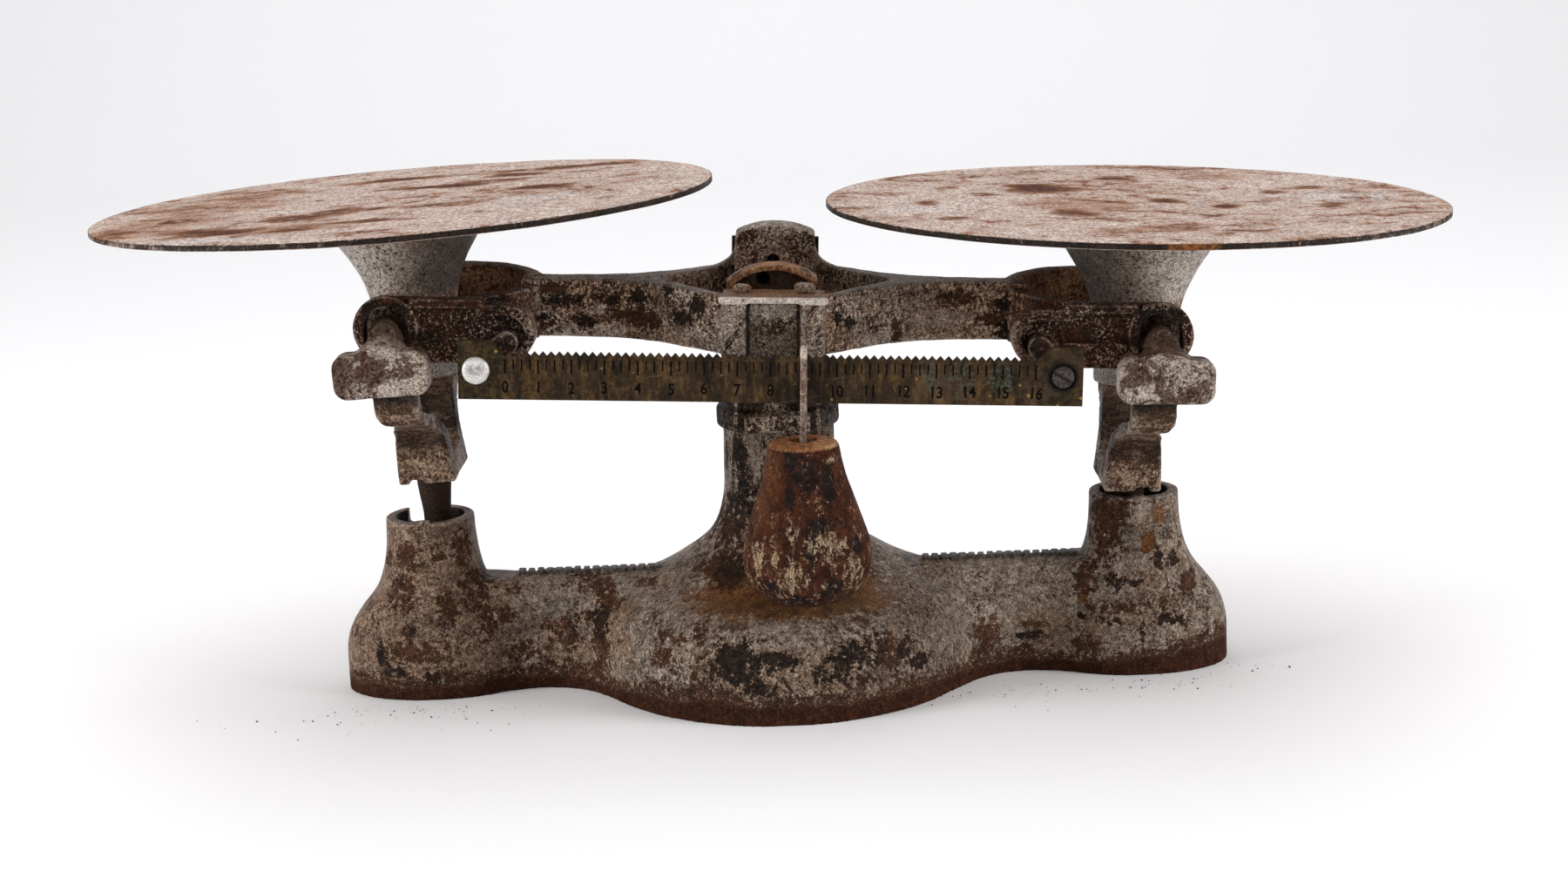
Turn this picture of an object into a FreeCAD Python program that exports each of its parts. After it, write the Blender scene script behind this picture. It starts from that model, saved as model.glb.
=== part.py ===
import FreeCAD, Part
import math
import os

os.makedirs("parts", exist_ok=True)
V = FreeCAD.Vector

# ---------------------------------------------------------------- driving dimensions (mm, degrees)
PLATE_D = 228.6            # load plate diameter (9 in)
PLATE_T = 2.0              # load plate thickness
ARM = 138.5                # centre knife edge to end knife edge
ZC = 136.0                 # height of the centre knife edge
END_DROP = 0.0             # end knife edges below the centre one: the three edges lie in line
TILT = 2.65                # beam angle at rest, right end down
LEAN = 2.25                # outward lean of each carrier at rest
AXIS_IN = 5.2              # carrier axis lies this far inboard of its knife edge
CUP_X = 133.0              # end cups
CUP_Z = 66.3
CUP_R = 16.6
CUP_BORE = 12.6
DECK_Z = 41.6              # ridge of the base
COL_R = 20.8               # column
COL_TOP = 96.8
LINK_DROP = 115.5          # end knife edge to stem pin
TINE_Y = 40.0              # outer face of the fork tines
TINE_T = 5.0
BRASS_Y = -60.0            # mid plane of the graduated beam
BRASS_T = 3.0
ZERO_X = -94.0             # graduation 0 on the beam
OUNCE = 11.66              # graduation pitch
NOTCHES = 64               # four to each graduation
POISE_AT = 9.0             # graduation the poise hangs at
POISE_Z = 43.4             # lowest point of the poise
SHAFT_GAP = 0.06           # running clearance, radial

nodes = {}


# ---------------------------------------------------------------- helpers
def box(x0, x1, y0, y1, z0, z1):
    return Part.makeBox(x1 - x0, y1 - y0, z1 - z0, V(x0, y0, z0))


def cyl(r, p, d, h):
    return Part.makeCylinder(r, h, V(*p), V(*d))


def poly(points):
    pts = [V(*p) for p in points]
    return Part.Face(Part.makePolygon(pts + [pts[0]]))


def prism_xz(pts, y0, y1):
    return poly([(x, y0, z) for x, z in pts]).extrude(V(0, y1 - y0, 0))


def prism_yz(pts, x0, x1):
    return poly([(x0, y, z) for y, z in pts]).extrude(V(x1 - x0, 0, 0))


def prism_xy(pts, z0, z1):
    return poly([(x, y, z0) for x, y in pts]).extrude(V(0, 0, z1 - z0))


def turned(profile, cx=0.0, cy=0.0, z_in=None):
    """Solid of revolution about a vertical axis from an outer profile (r, z), smooth between the points."""
    pts = [V(cx + r, cy, z) for r, z in profile]
    c = Part.BSplineCurve()
    c.interpolate(pts)
    top, bot = profile[-1][1], profile[0][1]
    edges = [c.toShape(),
             Part.makeLine(pts[-1], V(cx, cy, top)),
             Part.makeLine(V(cx, cy, top), V(cx, cy, bot)),
             Part.makeLine(V(cx, cy, bot), pts[0])]
    f = Part.Face(Part.Wire(edges))
    return f.revolve(V(cx, cy, 0), V(0, 0, 1), 360)


def turned_poly(profile, cx=0.0, cy=0.0):
    f = poly([(cx + r, cy, z) for r, z in profile])
    return f.revolve(V(cx, cy, 0), V(0, 0, 1), 360)


def slot_xz(x0, x1, z0, z1, y0, y1):
    """Bar with half-round ends in X-Z, extruded along Y."""
    r = (z1 - z0) / 2.0
    zc = (z0 + z1) / 2.0
    s = box(x0 + r, x1 - r, y0, y1, z0, z1)
    return s.fuse([cyl(r, (x0 + r, y0, zc), (0, 1, 0), y1 - y0), cyl(r, (x1 - r, y0, zc), (0, 1, 0), y1 - y0)])


def soften(s, r, pick):
    """Round the edges that pick() names, leaving the shape as it is where that fails."""
    e = [k for k in s.Edges if pick(k)]
    if not e:
        return s
    try:
        t = s.makeFillet(r, e)
        if t.isValid() and len(t.Solids) == 1:
            return t
    except Exception:
        pass
    return s


def done(name, s):
    s = s.removeSplitter()
    if s.ShapeType != "Solid" and len(s.Solids) == 1:
        s = s.Solids[0]
    nodes[name] = s
    return s


def mirror_x(s):
    return s.mirror(V(0, 0, 0), V(1, 0, 0))


PIVOT = V(0, 0, ZC)


def beam_pose(s):
    s = s.copy()
    s.rotate(PIVOT, V(0, 1, 0), TILT)
    return s


def beam_point(x, z):
    r = FreeCAD.Rotation(V(0, 1, 0), TILT)
    return PIVOT + r.multVec(V(x, 0, z - ZC))


# ---------------------------------------------------------------- base casting
# levels of the outer surface: height, foot length and half depth beyond the cup axis, waist half depth, bulge size
LEVELS = [(0.0, 33.6, 23.0, 13.0, 1.0), (10.0, 33.6, 23.0, 12.8, 0.999), (17.0, 33.2, 22.6, 12.4, 0.992),
          (23.0, 31.6, 21.6, 11.9, 0.975), (29.0, 28.2, 20.0, 11.1, 0.942), (34.0, 23.6, 18.2, 9.9, 0.876),
          (37.5, 20.4, 16.8, 8.6, 0.79), (40.2, 18.0, 15.2, 6.8, 0.685), (DECK_Z, 16.4, 13.0, 4.2, 0.58)]
# front of the central bulge in plan, from its side to the middle
BULGE = [(67.5, 26.5), (55.0, 43.4), (41.0, 56.6), (25.0, 65.4), (11.0, 69.4), (0.0, 70.2)]
WALL = 4.6
INNER_TOP = 33.0           # underside of the deck


def ring_points(a, b, w, k):
    q = []
    for t in (0.0, 17.0, 37.5, 62.0, 90.0):
        q.append((CUP_X + a * math.cos(math.radians(t)), b * math.sin(math.radians(t))))
    q.append((117.0, w + (b - w) * 0.71))
    q.append((104.5, w + (b - w) * 0.24))
    q.append((92.0, w))
    yb = max(26.5 * k, w)
    q.append((67.5 * k + 11.0, w + (yb - w) * 0.25))
    q += [(x * k, max(y * k, w)) for x, y in BULGE]
    front = [(x, -y) for x, y in q]
    full = front + [(-x, y) for x, y in reversed(front[:-1])]
    return full + [(x, -y) for x, y in reversed(full[1:-1])]


def knots():
    p = ring_points(*LEVELS[0][1:])
    t = [0.0]
    for i in range(len(p)):
        u, v = p[i], p[(i + 1) % len(p)]
        t.append(t[-1] + math.hypot(v[0] - u[0], v[1] - u[1]))
    return t


KNOTS = knots()


def outline(level, z):
    c = Part.BSplineCurve()
    c.interpolate(Points=[V(x, y, z) for x, y in ring_points(*level)], PeriodicFlag=True, Parameters=KNOTS)
    return Part.Wire([c.toShape()])


shell = Part.makeLoft([outline(l[1:], l[0]) for l in LEVELS], True, False)
inner = Part.makeLoft([outline((l[1] - WALL, l[2] - WALL, l[3] - WALL, l[4] - WALL / 70.0), z) for l, z in
                       zip(LEVELS[:7], (-2.0, 6.0, 13.0, 19.0, 25.0, 29.5, INNER_TOP))], True, False)



def oval_loft(levels, cx):
    """Smooth tower of ellipses: height, half length in x, half depth in y."""
    wires = []
    for z, ax, by in levels:
        if ax >= by:
            e = Part.Ellipse(V(cx, 0, z), ax + 1e-6, by)
        else:
            e = Part.Ellipse(V(cx, by + 1e-6, z), V(cx + ax, 0, z), V(cx, 0, z))
        wires.append(Part.Wire([e.toShape()]))
    return Part.makeLoft(wires, True, False)


column = oval_loft([(38.6, 54.0, 48.0), (41.2, 50.0, 43.6), (43.4, 45.6, 40.4), (46.2, 40.6, 37.0), (50.0, 34.4, 32.6),
                    (54.6, 28.8, 28.2), (60.0, 24.8, 24.7), (66.0, 22.6, 22.6), (73.0, 21.4, 21.4), (81.0, 20.9, 20.9),
                    (89.0, COL_R, COL_R), (COL_TOP, COL_R, COL_R)], 0.0)
cups = []
for s in (-1, 1):
    cups.append(oval_loft([(0.0, 34.8, 24.0), (9.0, 34.8, 24.0), (16.0, 34.6, 23.9), (22.0, 33.4, 23.3),
                           (27.5, 30.8, 22.3), (33.0, 26.8, 21.0), (38.0, 22.8, 19.7), (43.0, 20.0, 18.6),
                           (48.5, 18.3, 17.8), (55.0, 17.2, 17.1), (61.0, 16.8, 16.8), (CUP_Z, CUP_R, CUP_R)],
                          s * CUP_X))
body = shell.fuse([column] + cups)
body = body.cut(inner)
# bores: column, cups
body = body.cut(cyl(13.0, (0, 0, 20), (0, 0, 1), COL_TOP))
for s in (-1, 1):
    body = body.cut(cyl(CUP_BORE, (s * CUP_X, 0, 10), (0, 0, 1), 80))
    # slot in the rear wall of the left cup
    if s < 0:
        body = body.cut(box(-CUP_X - 9.6, -CUP_X - 2.4, 6.0, CUP_R + 2, CUP_Z - 6.0, CUP_Z + 1))
    # nib on the front rim
    body = body.fuse(box(s * CUP_X - 1.6, s * CUP_X + 1.6, -CUP_R + 0.6, -CUP_BORE - 0.6, CUP_Z - 1.5, CUP_Z + 1.0))
# row of plain beads along the ridge on both arms
beads = []
for s, first, count in ((-1, 47.0, 16), (1, 54.0, 17)):
    for k in range(count):
        x = s * (first + 3.5 * k)
        beads.append(box(x - 1.1, x + 1.1, -2.8, 2.8, DECK_Z - 1.0, DECK_Z + 1.5))
body = body.fuse(beads)
# tapped holes for the hanger
for s in (-1, 1):
    body = body.cut(cyl(2.5, (0, s * 16.5, INNER_TOP - 3.0), (0, 0, 1), 6.6))
done("base_casting", body)

# ---------------------------------------------------------------- fulcrum head on the column
HEAD_HW, HEAD_Y = 16.6, 20.6
ARCH_Z = 159.4
head = cyl(23.0, (0, 0, COL_TOP), (0, 0, 1), 8.0)
head = soften(head, 1.6, lambda e: e.Closed and len(e.Vertexes) == 1)
head = head.fuse([cyl(20.4, (0, 0, COL_TOP), (0, 0, 1), 24.0),
                  box(-12.0, 12.0, -24.2, -10.0, COL_TOP + 1.0, COL_TOP + 7.2),
                  cyl(12.9, (0, 0, COL_TOP - 9.0), (0, 0, 1), 12.0)])
arch = Part.Face(Part.Wire([
    Part.makeLine(V(-HEAD_HW, -HEAD_Y, 110), V(HEAD_HW, -HEAD_Y, 110)),
    Part.makeLine(V(HEAD_HW, -HEAD_Y, 110), V(HEAD_HW, -HEAD_Y, ARCH_Z - 5.8)),
    Part.Arc(V(HEAD_HW, -HEAD_Y, ARCH_Z - 5.8), V(0, -HEAD_Y, ARCH_Z), V(-HEAD_HW, -HEAD_Y, ARCH_Z - 5.8)).toShape(),
    Part.makeLine(V(-HEAD_HW, -HEAD_Y, ARCH_Z - 5.8), V(-HEAD_HW, -HEAD_Y, 110))]))
block = arch.extrude(V(0, 11.6, 0)).fuse(box(-HEAD_HW, HEAD_HW, -HEAD_Y, HEAD_Y, 110, 150.0))
head = head.fuse(block)
# window for the knife edge, sunk face behind the arched rim, and a blind hole under the arch
head = head.cut(box(-8.5, 8.5, -30, 30, ZC - 6.0, ZC + 12.5))
sunk = Part.Face(Part.Wire([
    Part.makeLine(V(-14.4, -HEAD_Y, 140), V(14.4, -HEAD_Y, 140)),
    Part.makeLine(V(14.4, -HEAD_Y, 140), V(14.4, -HEAD_Y, ARCH_Z - 7.2)),
    Part.Arc(V(14.4, -HEAD_Y, ARCH_Z - 7.2), V(0, -HEAD_Y, ARCH_Z - 2.0), V(-14.4, -HEAD_Y, ARCH_Z - 7.2)).toShape(),
    Part.makeLine(V(-14.4, -HEAD_Y, ARCH_Z - 7.2), V(-14.4, -HEAD_Y, 140))])).extrude(V(0, 1.6, 0))
head = head.cut(sunk)
head = head.cut(cyl(2.2, (-3.0, -30, 154.6), (0, 1, 0), 16.0))
done("fulcrum_head", head)

# V-bearings in the window
vees = []
for y0, y1 in ((-18.5, -9.0), (9.0, 18.5)):
    b = box(-8.5, 8.5, y0, y1, ZC - 6.0, ZC + 3.0)
    b = b.cut(prism_xz([(0, ZC - 0.05), (9.0, ZC + 5.15), (-9.0, ZC + 5.15)], y0 - 1, y1 + 1))
    vees.append(b)
done("fulcrum_bearings", Part.makeCompound(vees))

# ---------------------------------------------------------------- rocking beam (drawn level, then tilted to rest)
Z_TOP, Z_BOT = 151.7, 129.8
BLOCK_BOT = 127.4
LENS_OUT = [(0, 41.2), (14.0, 40.6), (18.5, 38.4), (23.0, 35.0), (29.0, 28.6), (36.0, 21.6), (45.0, 14.0), (55.0, 8.8), (65.0, 6.4),
            (76.0, 5.4), (90.0, 5.2)]
LENS_IN = [(0, 34.6), (18.5, 34.0), (21.6, 30.6), (26.6, 23.4), (32.0, 16.2), (37.0, 9.8), (40.6, 4.8), (42.6, 0.0)]


lens_up = [(-x, y) for x, y in reversed(LENS_OUT) if x > 0] + LENS_OUT


def spline_edge(pts, z):
    c = Part.BSplineCurve()
    c.interpolate([V(x, y, z) for x, y in pts])
    return c.toShape()


e_up = spline_edge(lens_up, 100.0)
e_dn = spline_edge([(x, -y) for x, y in lens_up], 100.0)
xl = lens_up[0]
xr = lens_up[-1]
side_l = Part.makeLine(V(xl[0], xl[1], 100.0), V(xl[0], -xl[1], 100.0))
side_r = Part.makeLine(V(xr[0], xr[1], 100.0), V(xr[0], -xr[1], 100.0))
lens = Part.Face(Part.Wire(Part.__sortEdges__([e_up, side_r, e_dn, side_l]))).extrude(V(0, 0, 80))
in_up = [(-x, y) for x, y in reversed(LENS_IN) if x > 0] + LENS_IN
h_up = spline_edge(in_up, 90.0)
h_dn = spline_edge([(x, -y) for x, y in in_up], 90.0)
hole = Part.Face(Part.Wire(Part.__sortEdges__([h_up, h_dn]))).extrude(V(0, 0, 100))
# side view of the arms: nearly level
side = prism_xz([(-90.0, Z_BOT), (90.0, Z_BOT), (90.0, Z_TOP), (50.0, Z_TOP), (18.5, Z_TOP - 0.4), (-18.5, Z_TOP - 0.4),
                 (-50.0, Z_TOP), (-90.0, Z_TOP)], -60, 60)
arms = lens.cut(hole).common(side)
FRONT_Z = 151.2
front = box(-18.5, 18.5, -40.0, -24.0, BLOCK_BOT, FRONT_Z)
ribs = [prism_yz([(-39.0, BLOCK_BOT), (-45.0, BLOCK_BOT), (-45.0, FRONT_Z - 1.8), (-43.6, FRONT_Z), (-39.0, FRONT_Z)],
                 s * 14.0 - 4.5, s * 14.0 + 4.5) for s in (-1, 1)]
# rounded panel between the ribs
panel = prism_yz([(-39.0, BLOCK_BOT), (-41.4, BLOCK_BOT + 1.0), (-41.6, FRONT_Z - 10.0), (-42.2, FRONT_Z - 6.0),
                  (-42.4, FRONT_Z - 3.6), (-42.0, FRONT_Z - 1.8), (-41.2, FRONT_Z - 0.6), (-40.0, FRONT_Z),
                  (-39.0, FRONT_Z)], -10.0, 10.0)
# lip along the top
lip = box(-19.6, 19.6, -46.0, -38.0, FRONT_Z - 2.0, FRONT_Z)
front = front.fuse(ribs + [panel, lip])
REAR_Z = 167.8
rear_face = Part.Face(Part.Wire([
    Part.makeLine(V(-15.2, 24.0, BLOCK_BOT), V(15.2, 24.0, BLOCK_BOT)),
    Part.makeLine(V(15.2, 24.0, BLOCK_BOT), V(15.2, 24.0, REAR_Z - 3.6)),
    Part.Arc(V(15.2, 24.0, REAR_Z - 3.6), V(0, 24.0, REAR_Z), V(-15.2, 24.0, REAR_Z - 3.6)).toShape(),
    Part.makeLine(V(-15.2, 24.0, REAR_Z - 3.6), V(-15.2, 24.0, BLOCK_BOT))]))
rear = rear_face.extrude(V(0, 18.6, 0))
rear = soften(rear, 1.6, lambda e: e.BoundBox.ZMin > REAR_Z - 4.0)
zt = Z_TOP - 0.5
flare = [prism_xz([(s * 14.0, zt - 3.0), (s * 14.0, zt + 8.0), (s * 15.4, zt + 7.2), (s * 16.2, zt + 4.6), (s * 17.8, zt + 2.5),
                   (s * 20.4, zt + 1.1), (s * 24.0, zt), (s * 24.0, zt - 3.0)], 20.0, 60.0) for s in (-1, 1)]
flare = [lens.cut(hole).common(k) for k in flare]
beam = arms.fuse([front, rear] + flare)
# forks at both ends: two tines joined by a curved root
TZ0, TZ1 = ZC - END_DROP - 10.2, ZC - END_DROP + 13.4
fork_parts = []
for s in (-1, 1):
    root_out = [(86.0, 0.0), (86.5, 9.0), (91.0, 20.0), (98.0, 31.0), (106.0, 37.6), (116.0, TINE_Y)]
    pts = [V(s * x, y, 0) for x, y in root_out[1:]]
    c = Part.BSplineCurve()
    c.interpolate(pts)
    inn = [(92.5, 8.0), (96.0, 17.5), (102.0, 26.6), (108.5, 32.6), (117.0, TINE_Y - TINE_T)]
    pin = [V(s * x, y, 0) for x, y in inn]
    ci = Part.BSplineCurve()
    ci.interpolate(pin)
    for m in (1, -1):
        a = c.toShape()
        b = ci.toShape()
        f = Part.Face(Part.Wire(Part.__sortEdges__([a, Part.makeLine(pts[-1], pin[-1]), b,
                                                    Part.makeLine(pin[0], pts[0])])))
        # the rear root rises to the top of the ring
        root_top = Z_TOP - 0.4 if m > 0 else TZ1
        g = f.extrude(V(0, 0, root_top - TZ0))
        g.translate(V(0, 0, TZ0))
        g = g.cut(box(min(s * 80.0, s * 93.0), max(s * 80.0, s * 93.0), -60, 60, 100, Z_BOT))
        if m < 0:
            g = g.mirror(V(0, 0, 0), V(0, 1, 0))
        fork_parts.append(g)
        # straight tine with a round end
        y0, y1 = (TINE_Y - TINE_T, TINE_Y) if m > 0 else (-TINE_Y, -TINE_Y + TINE_T)
        x0, x1 = (96.0, 150.8)
        bar = slot_xz(min(s * x0, s * x1), max(s * x0, s * x1), TZ0, TZ1, y0, y1)
        bar = bar.common(box(min(s * 106.0, s * 160.0), max(s * 106.0, s * 160.0), -60, 60, 100, 180))
        fork_parts.append(bar)
        if m > 0:
            fork_parts.append(box(min(s * 115.0, s * 121.0), max(s * 115.0, s * 121.0), y0, y1, TZ1 - 8.0, Z_TOP - 0.4))
        # raised rim round the knife edge opening
        yr0, yr1 = (y1, y1 + 2.8) if m > 0 else (y0 - 2.8, y0)
        rim = cyl(11.6, (s * ARM, yr0, TZ0 + 13.0), (0, 1, 0), yr1 - yr0).common(
            box(s * ARM - 20, s * ARM + 20, -60, 60, TZ0 + 4.0, TZ1 + 5))
        fork_parts.append(rim)
        # lip along the top edge and proud strip along the bottom
        ys = (y1 - 0.5, y1 + 2.2) if m > 0 else (y0 - 2.2, y0 + 0.5)
        fork_parts.append(box(min(s * 104.0, s * 130.0), max(s * 104.0, s * 130.0), ys[0], ys[1], TZ1 - 3.4, TZ1 - 0.2))
        ys = (y1 - 0.5, y1 + 1.4) if m > 0 else (y0 - 1.4, y0 + 0.5)
        fork_parts.append(box(min(s * 104.0, s * 129.0), max(s * 104.0, s * 129.0), ys[0], ys[1], TZ0 + 0.3, TZ0 + 9.4))
        # boss for the stand-off
        if m < 0:
            xa, xb = sorted((s * 85.2, s * 118.0))
            xc, xd = sorted((s * 84.0, s * 106.0))
            near = box(xc, xd, -60, 0, 100, 180)
            horn = slot_xz(xa, xb, TZ0 + 0.8, TZ0 + 21.6, -TINE_Y - 3.0, -TINE_Y + 9.0).common(near)
            xa, xb = sorted((s * 88.8, s * 130.0))
            fork_parts.append(horn.cut(slot_xz(xa, xb, TZ0 + 4.4, TZ0 + 17.6, -TINE_Y - 4.0, -TINE_Y + 0.2)))
            fork_parts.append(box(min(s * 88.0, s * 100.0), max(s * 88.0, s * 100.0), -TINE_Y + 4, -12.0,
                                  Z_BOT + 0.3, TZ0 + 16.0).common(
                cyl(40.0, (s * 128.0, 0, 100), (0, 0, 1), 100)))
    fork_parts.append(box(min(s * 86.5, s * 93.5), max(s * 86.5, s * 93.5), -9.0, 9.0, Z_BOT, Z_TOP - 0.4))
beam = beam.fuse(fork_parts)
# knife edge openings in the tines
for s in (-1, 1):
    x = s * ARM
    z = ZC - END_DROP
    cutter = box(x - 7.6, x + 7.6, -60, 60, z - 4.2, z + 3.0).fuse(cyl(7.6, (x, -60, z + 3.0), (0, 1, 0), 120))
    cutter = cutter.fuse(prism_xz([(x - 3.4, z - 7.0), (x + 3.4, z - 7.0), (x + 3.4, z - 4.0), (x - 3.4, z - 4.0)],
                                  -60, 60))
    beam = beam.cut(cutter)
    # hole for the stand-off
    beam = beam.cut(cyl(3.5, (s * 94.6, -TINE_Y - 5.0, TZ0 + 9.4), (0, 1, 0), 13.0))
# seats for the centre knife edge in the front block and the rear boss
KNIFE = [(0.0, ZC), (4.6, ZC + 8.0), (4.6, ZC + 10.0), (-4.6, ZC + 10.0), (-4.6, ZC + 8.0)]
beam = beam.cut(prism_xz(KNIFE, -32.0, 32.0))
# screw holes in the ledge, and the blind hole in the rear boss
for x in (-11.4, 11.2):
    beam = beam.cut(cyl(1.9, (x, -30.0, FRONT_Z - 8.0), (0, 0, 1), 12.0))
beam = beam.cut(cyl(2.4, (-0.6, 20.0, 154.6), (0, 1, 0), 14.0))
done("beam_casting", beam_pose(beam))

done("centre_knife", beam_pose(prism_xz(KNIFE, -32.0, 32.0)))

knives = []
for s in (-1, 1):
    x, z = s * ARM, ZC - END_DROP
    for m in (-1, 1):
        y0, y1 = (TINE_Y - TINE_T, TINE_Y + 1.8) if m > 0 else (-TINE_Y - 1.8, -TINE_Y + TINE_T)
        k = prism_xz([(x, z), (x + 2.4, z - 4.2), (x + 3.4, z - 4.2), (x + 3.4, z - 7.0), (x - 3.4, z - 7.0),
                      (x - 3.4, z - 4.2), (x - 2.4, z - 4.2)], y0, y1)
        knives.append(k)
done("end_knives", beam_pose(Part.makeCompound(knives)))

# corroded screws on the ledge
scr = []
for x, r, h in ((-11.4, 3.3, 2.6), (11.2, 3.8, 3.2)):
    t = cyl(1.8, (x, -30.0, FRONT_Z - 7.5), (0, 0, 1), 7.5)
    hd = cyl(r, (x, -30.0, FRONT_Z), (0, 0, 1), h)
    hd = soften(hd, 1.5, lambda e: e.Closed and len(e.Vertexes) == 1 and e.BoundBox.ZMin > FRONT_Z + 1.0)
    scr.append(t.fuse(hd).removeSplitter())
done("block_screws", beam_pose(Part.makeCompound(scr)))

# thin plate behind the rear boss
plate = box(-16.8, 16.8, 42.6, 44.0, 152.6, 161.4)
done("rear_plate", beam_pose(plate))

# ---------------------------------------------------------------- graduated brass beam and its fixings
BZ0, BZT, BZR, BZTAB = 116.6, 133.6, 132.0, 137.5
BRASS_TILT = 0.2           # further lean of the brass on its stand-offs
BX0, BX1 = -110.6, 109.2
SCREW_Z = 127.0
SX = (-104.3, 102.1)
SZ = tuple(SCREW_Z - x * math.sin(math.radians(BRASS_TILT)) for x in SX)
half = OUNCE / 8.0
pts = [(BX0, BZ0), (BX1, BZ0), (BX1, BZTAB), (SX[1] - 3.6, BZTAB)]
xs_end = ZERO_X + 16 * OUNCE
pts.append((xs_end + half, BZT))
x = xs_end
for k in range(NOTCHES + 1):
    pts.append((xs_end - k * 2 * half, BZR))
    pts.append((xs_end - k * 2 * half - half, BZT))
pts += [(ZERO_X - 5.2, BZTAB), (BX0, BZTAB)]
grad = prism_xz(pts, BRASS_Y - BRASS_T / 2, BRASS_Y + BRASS_T / 2)
grad.rotate(V(0, 0, SCREW_Z), V(0, 1, 0), BRASS_TILT)
for x, z in zip(SX, SZ):
    grad = grad.cut(cyl(2.1, (x, BRASS_Y - 5, z), (0, 1, 0), 10))
# recess round the head of the right screw
grad = grad.cut(cyl(4.8, (SX[1], BRASS_Y - 5, SZ[1]), (0, 1, 0), 5.0 - BRASS_T / 2 + 0.8))
done("graduated_beam", beam_pose(grad))

for s, x, zs, name in ((-1, SX[0], SZ[0], "standoff_left"), (1, SX[1], SZ[1], "standoff_right")):
    bx, bz = s * 94.6, TZ0 + 9.4
    y_brass, y_lug0, y_lug1 = BRASS_Y + BRASS_T / 2, -52.0, -48.0
    rod = cyl(3.5, (bx, y_lug0, bz), (0, 1, 0), (-TINE_Y + 7.0) - y_lug0)
    # flat lug running out and down to a spacer behind the brass, clear of the hook's path
    dx, dz = x - bx, zs - bz
    ln = math.hypot(dx, dz)
    px, pz = -dz / ln * 4.2, dx / ln * 4.2
    lug = prism_xz([(bx + px, bz + pz), (x + px, zs + pz), (x - px, zs - pz), (bx - px, bz - pz)],
                   y_lug0, y_lug1)
    lug = lug.fuse([cyl(4.2, (bx, y_lug0, bz), (0, 1, 0), y_lug1 - y_lug0),
                    cyl(4.2, (x, y_brass, zs), (0, 1, 0), y_lug1 - y_brass)])
    so = rod.fuse(lug)
    so = so.cut(cyl(2.1, (x, y_brass - 1, zs), (0, 1, 0), 14))
    done(name, beam_pose(so))

yf = BRASS_Y - BRASS_T / 2
rv = cyl(2.0, (SX[0], yf, SZ[0]), (0, 1, 0), BRASS_T + 4.0)
hd = cyl(4.85, (SX[0], yf - 2.0, SZ[0]), (0, 1, 0), 2.0)
hd = soften(hd, 1.4, lambda e: e.Closed and len(e.Vertexes) == 1 and e.BoundBox.YMax < yf - 1.5)
done("beam_rivet_left", beam_pose(rv.fuse(hd)))
sc = cyl(2.0, (SX[1], yf, SZ[1]), (0, 1, 0), BRASS_T + 4.0)
hd = cyl(3.8, (SX[1], yf - 0.9, SZ[1]), (0, 1, 0), 1.7)
slot = box(-6, 6, yf - 3, yf + 0.1, -0.55, 0.55)
slot.rotate(V(0, 0, 0), V(0, 1, 0), 32)
slot.translate(V(SX[1], 0, SZ[1]))
done("beam_screw_right", beam_pose(sc.fuse(hd).cut(slot)))

# ---------------------------------------------------------------- load carriers (drawn for the left, pivot at the origin)
# the knife edge is at x = 0, z = 0; inboard is +x; the funnel and stem axis is at x = AXIS_IN
FUN = (41.7, 43.7)         # underside of the plate above the knife edge, left and right
PITCH = (-0.5, 0.3)        # how far each plate leans front to back
LEG_BOT = -60.2
FUNNEL = ([(15.0, -22.0), (15.0, -10.0), (15.0, -2.0), (15.6, 3.0), (16.4, 8.0), (18.0, 14.0), (20.6, 20.0),
           (24.2, 26.0), (28.0, 32.0), (31.0, 38.0), (33.2, 45.0)],
          [(15.0, -22.0), (15.0, -10.0), (15.0, -2.0), (15.9, 3.0), (17.0, 8.0), (19.1, 14.0), (22.0, 20.0),
           (25.6, 26.0), (29.4, 32.0), (32.4, 38.0), (34.6, 45.0)])
FUNNEL_OUT = (0.0, 1.4)    # the right casting's funnel sits a little further out
bowl = turned([(12.4, 4.0), (12.9, 9.0), (14.4, 15.0), (16.9, 21.0), (20.4, 27.0), (24.2, 33.0), (27.2, 38.6),
               (29.4, 46.0)], AXIS_IN)


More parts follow.
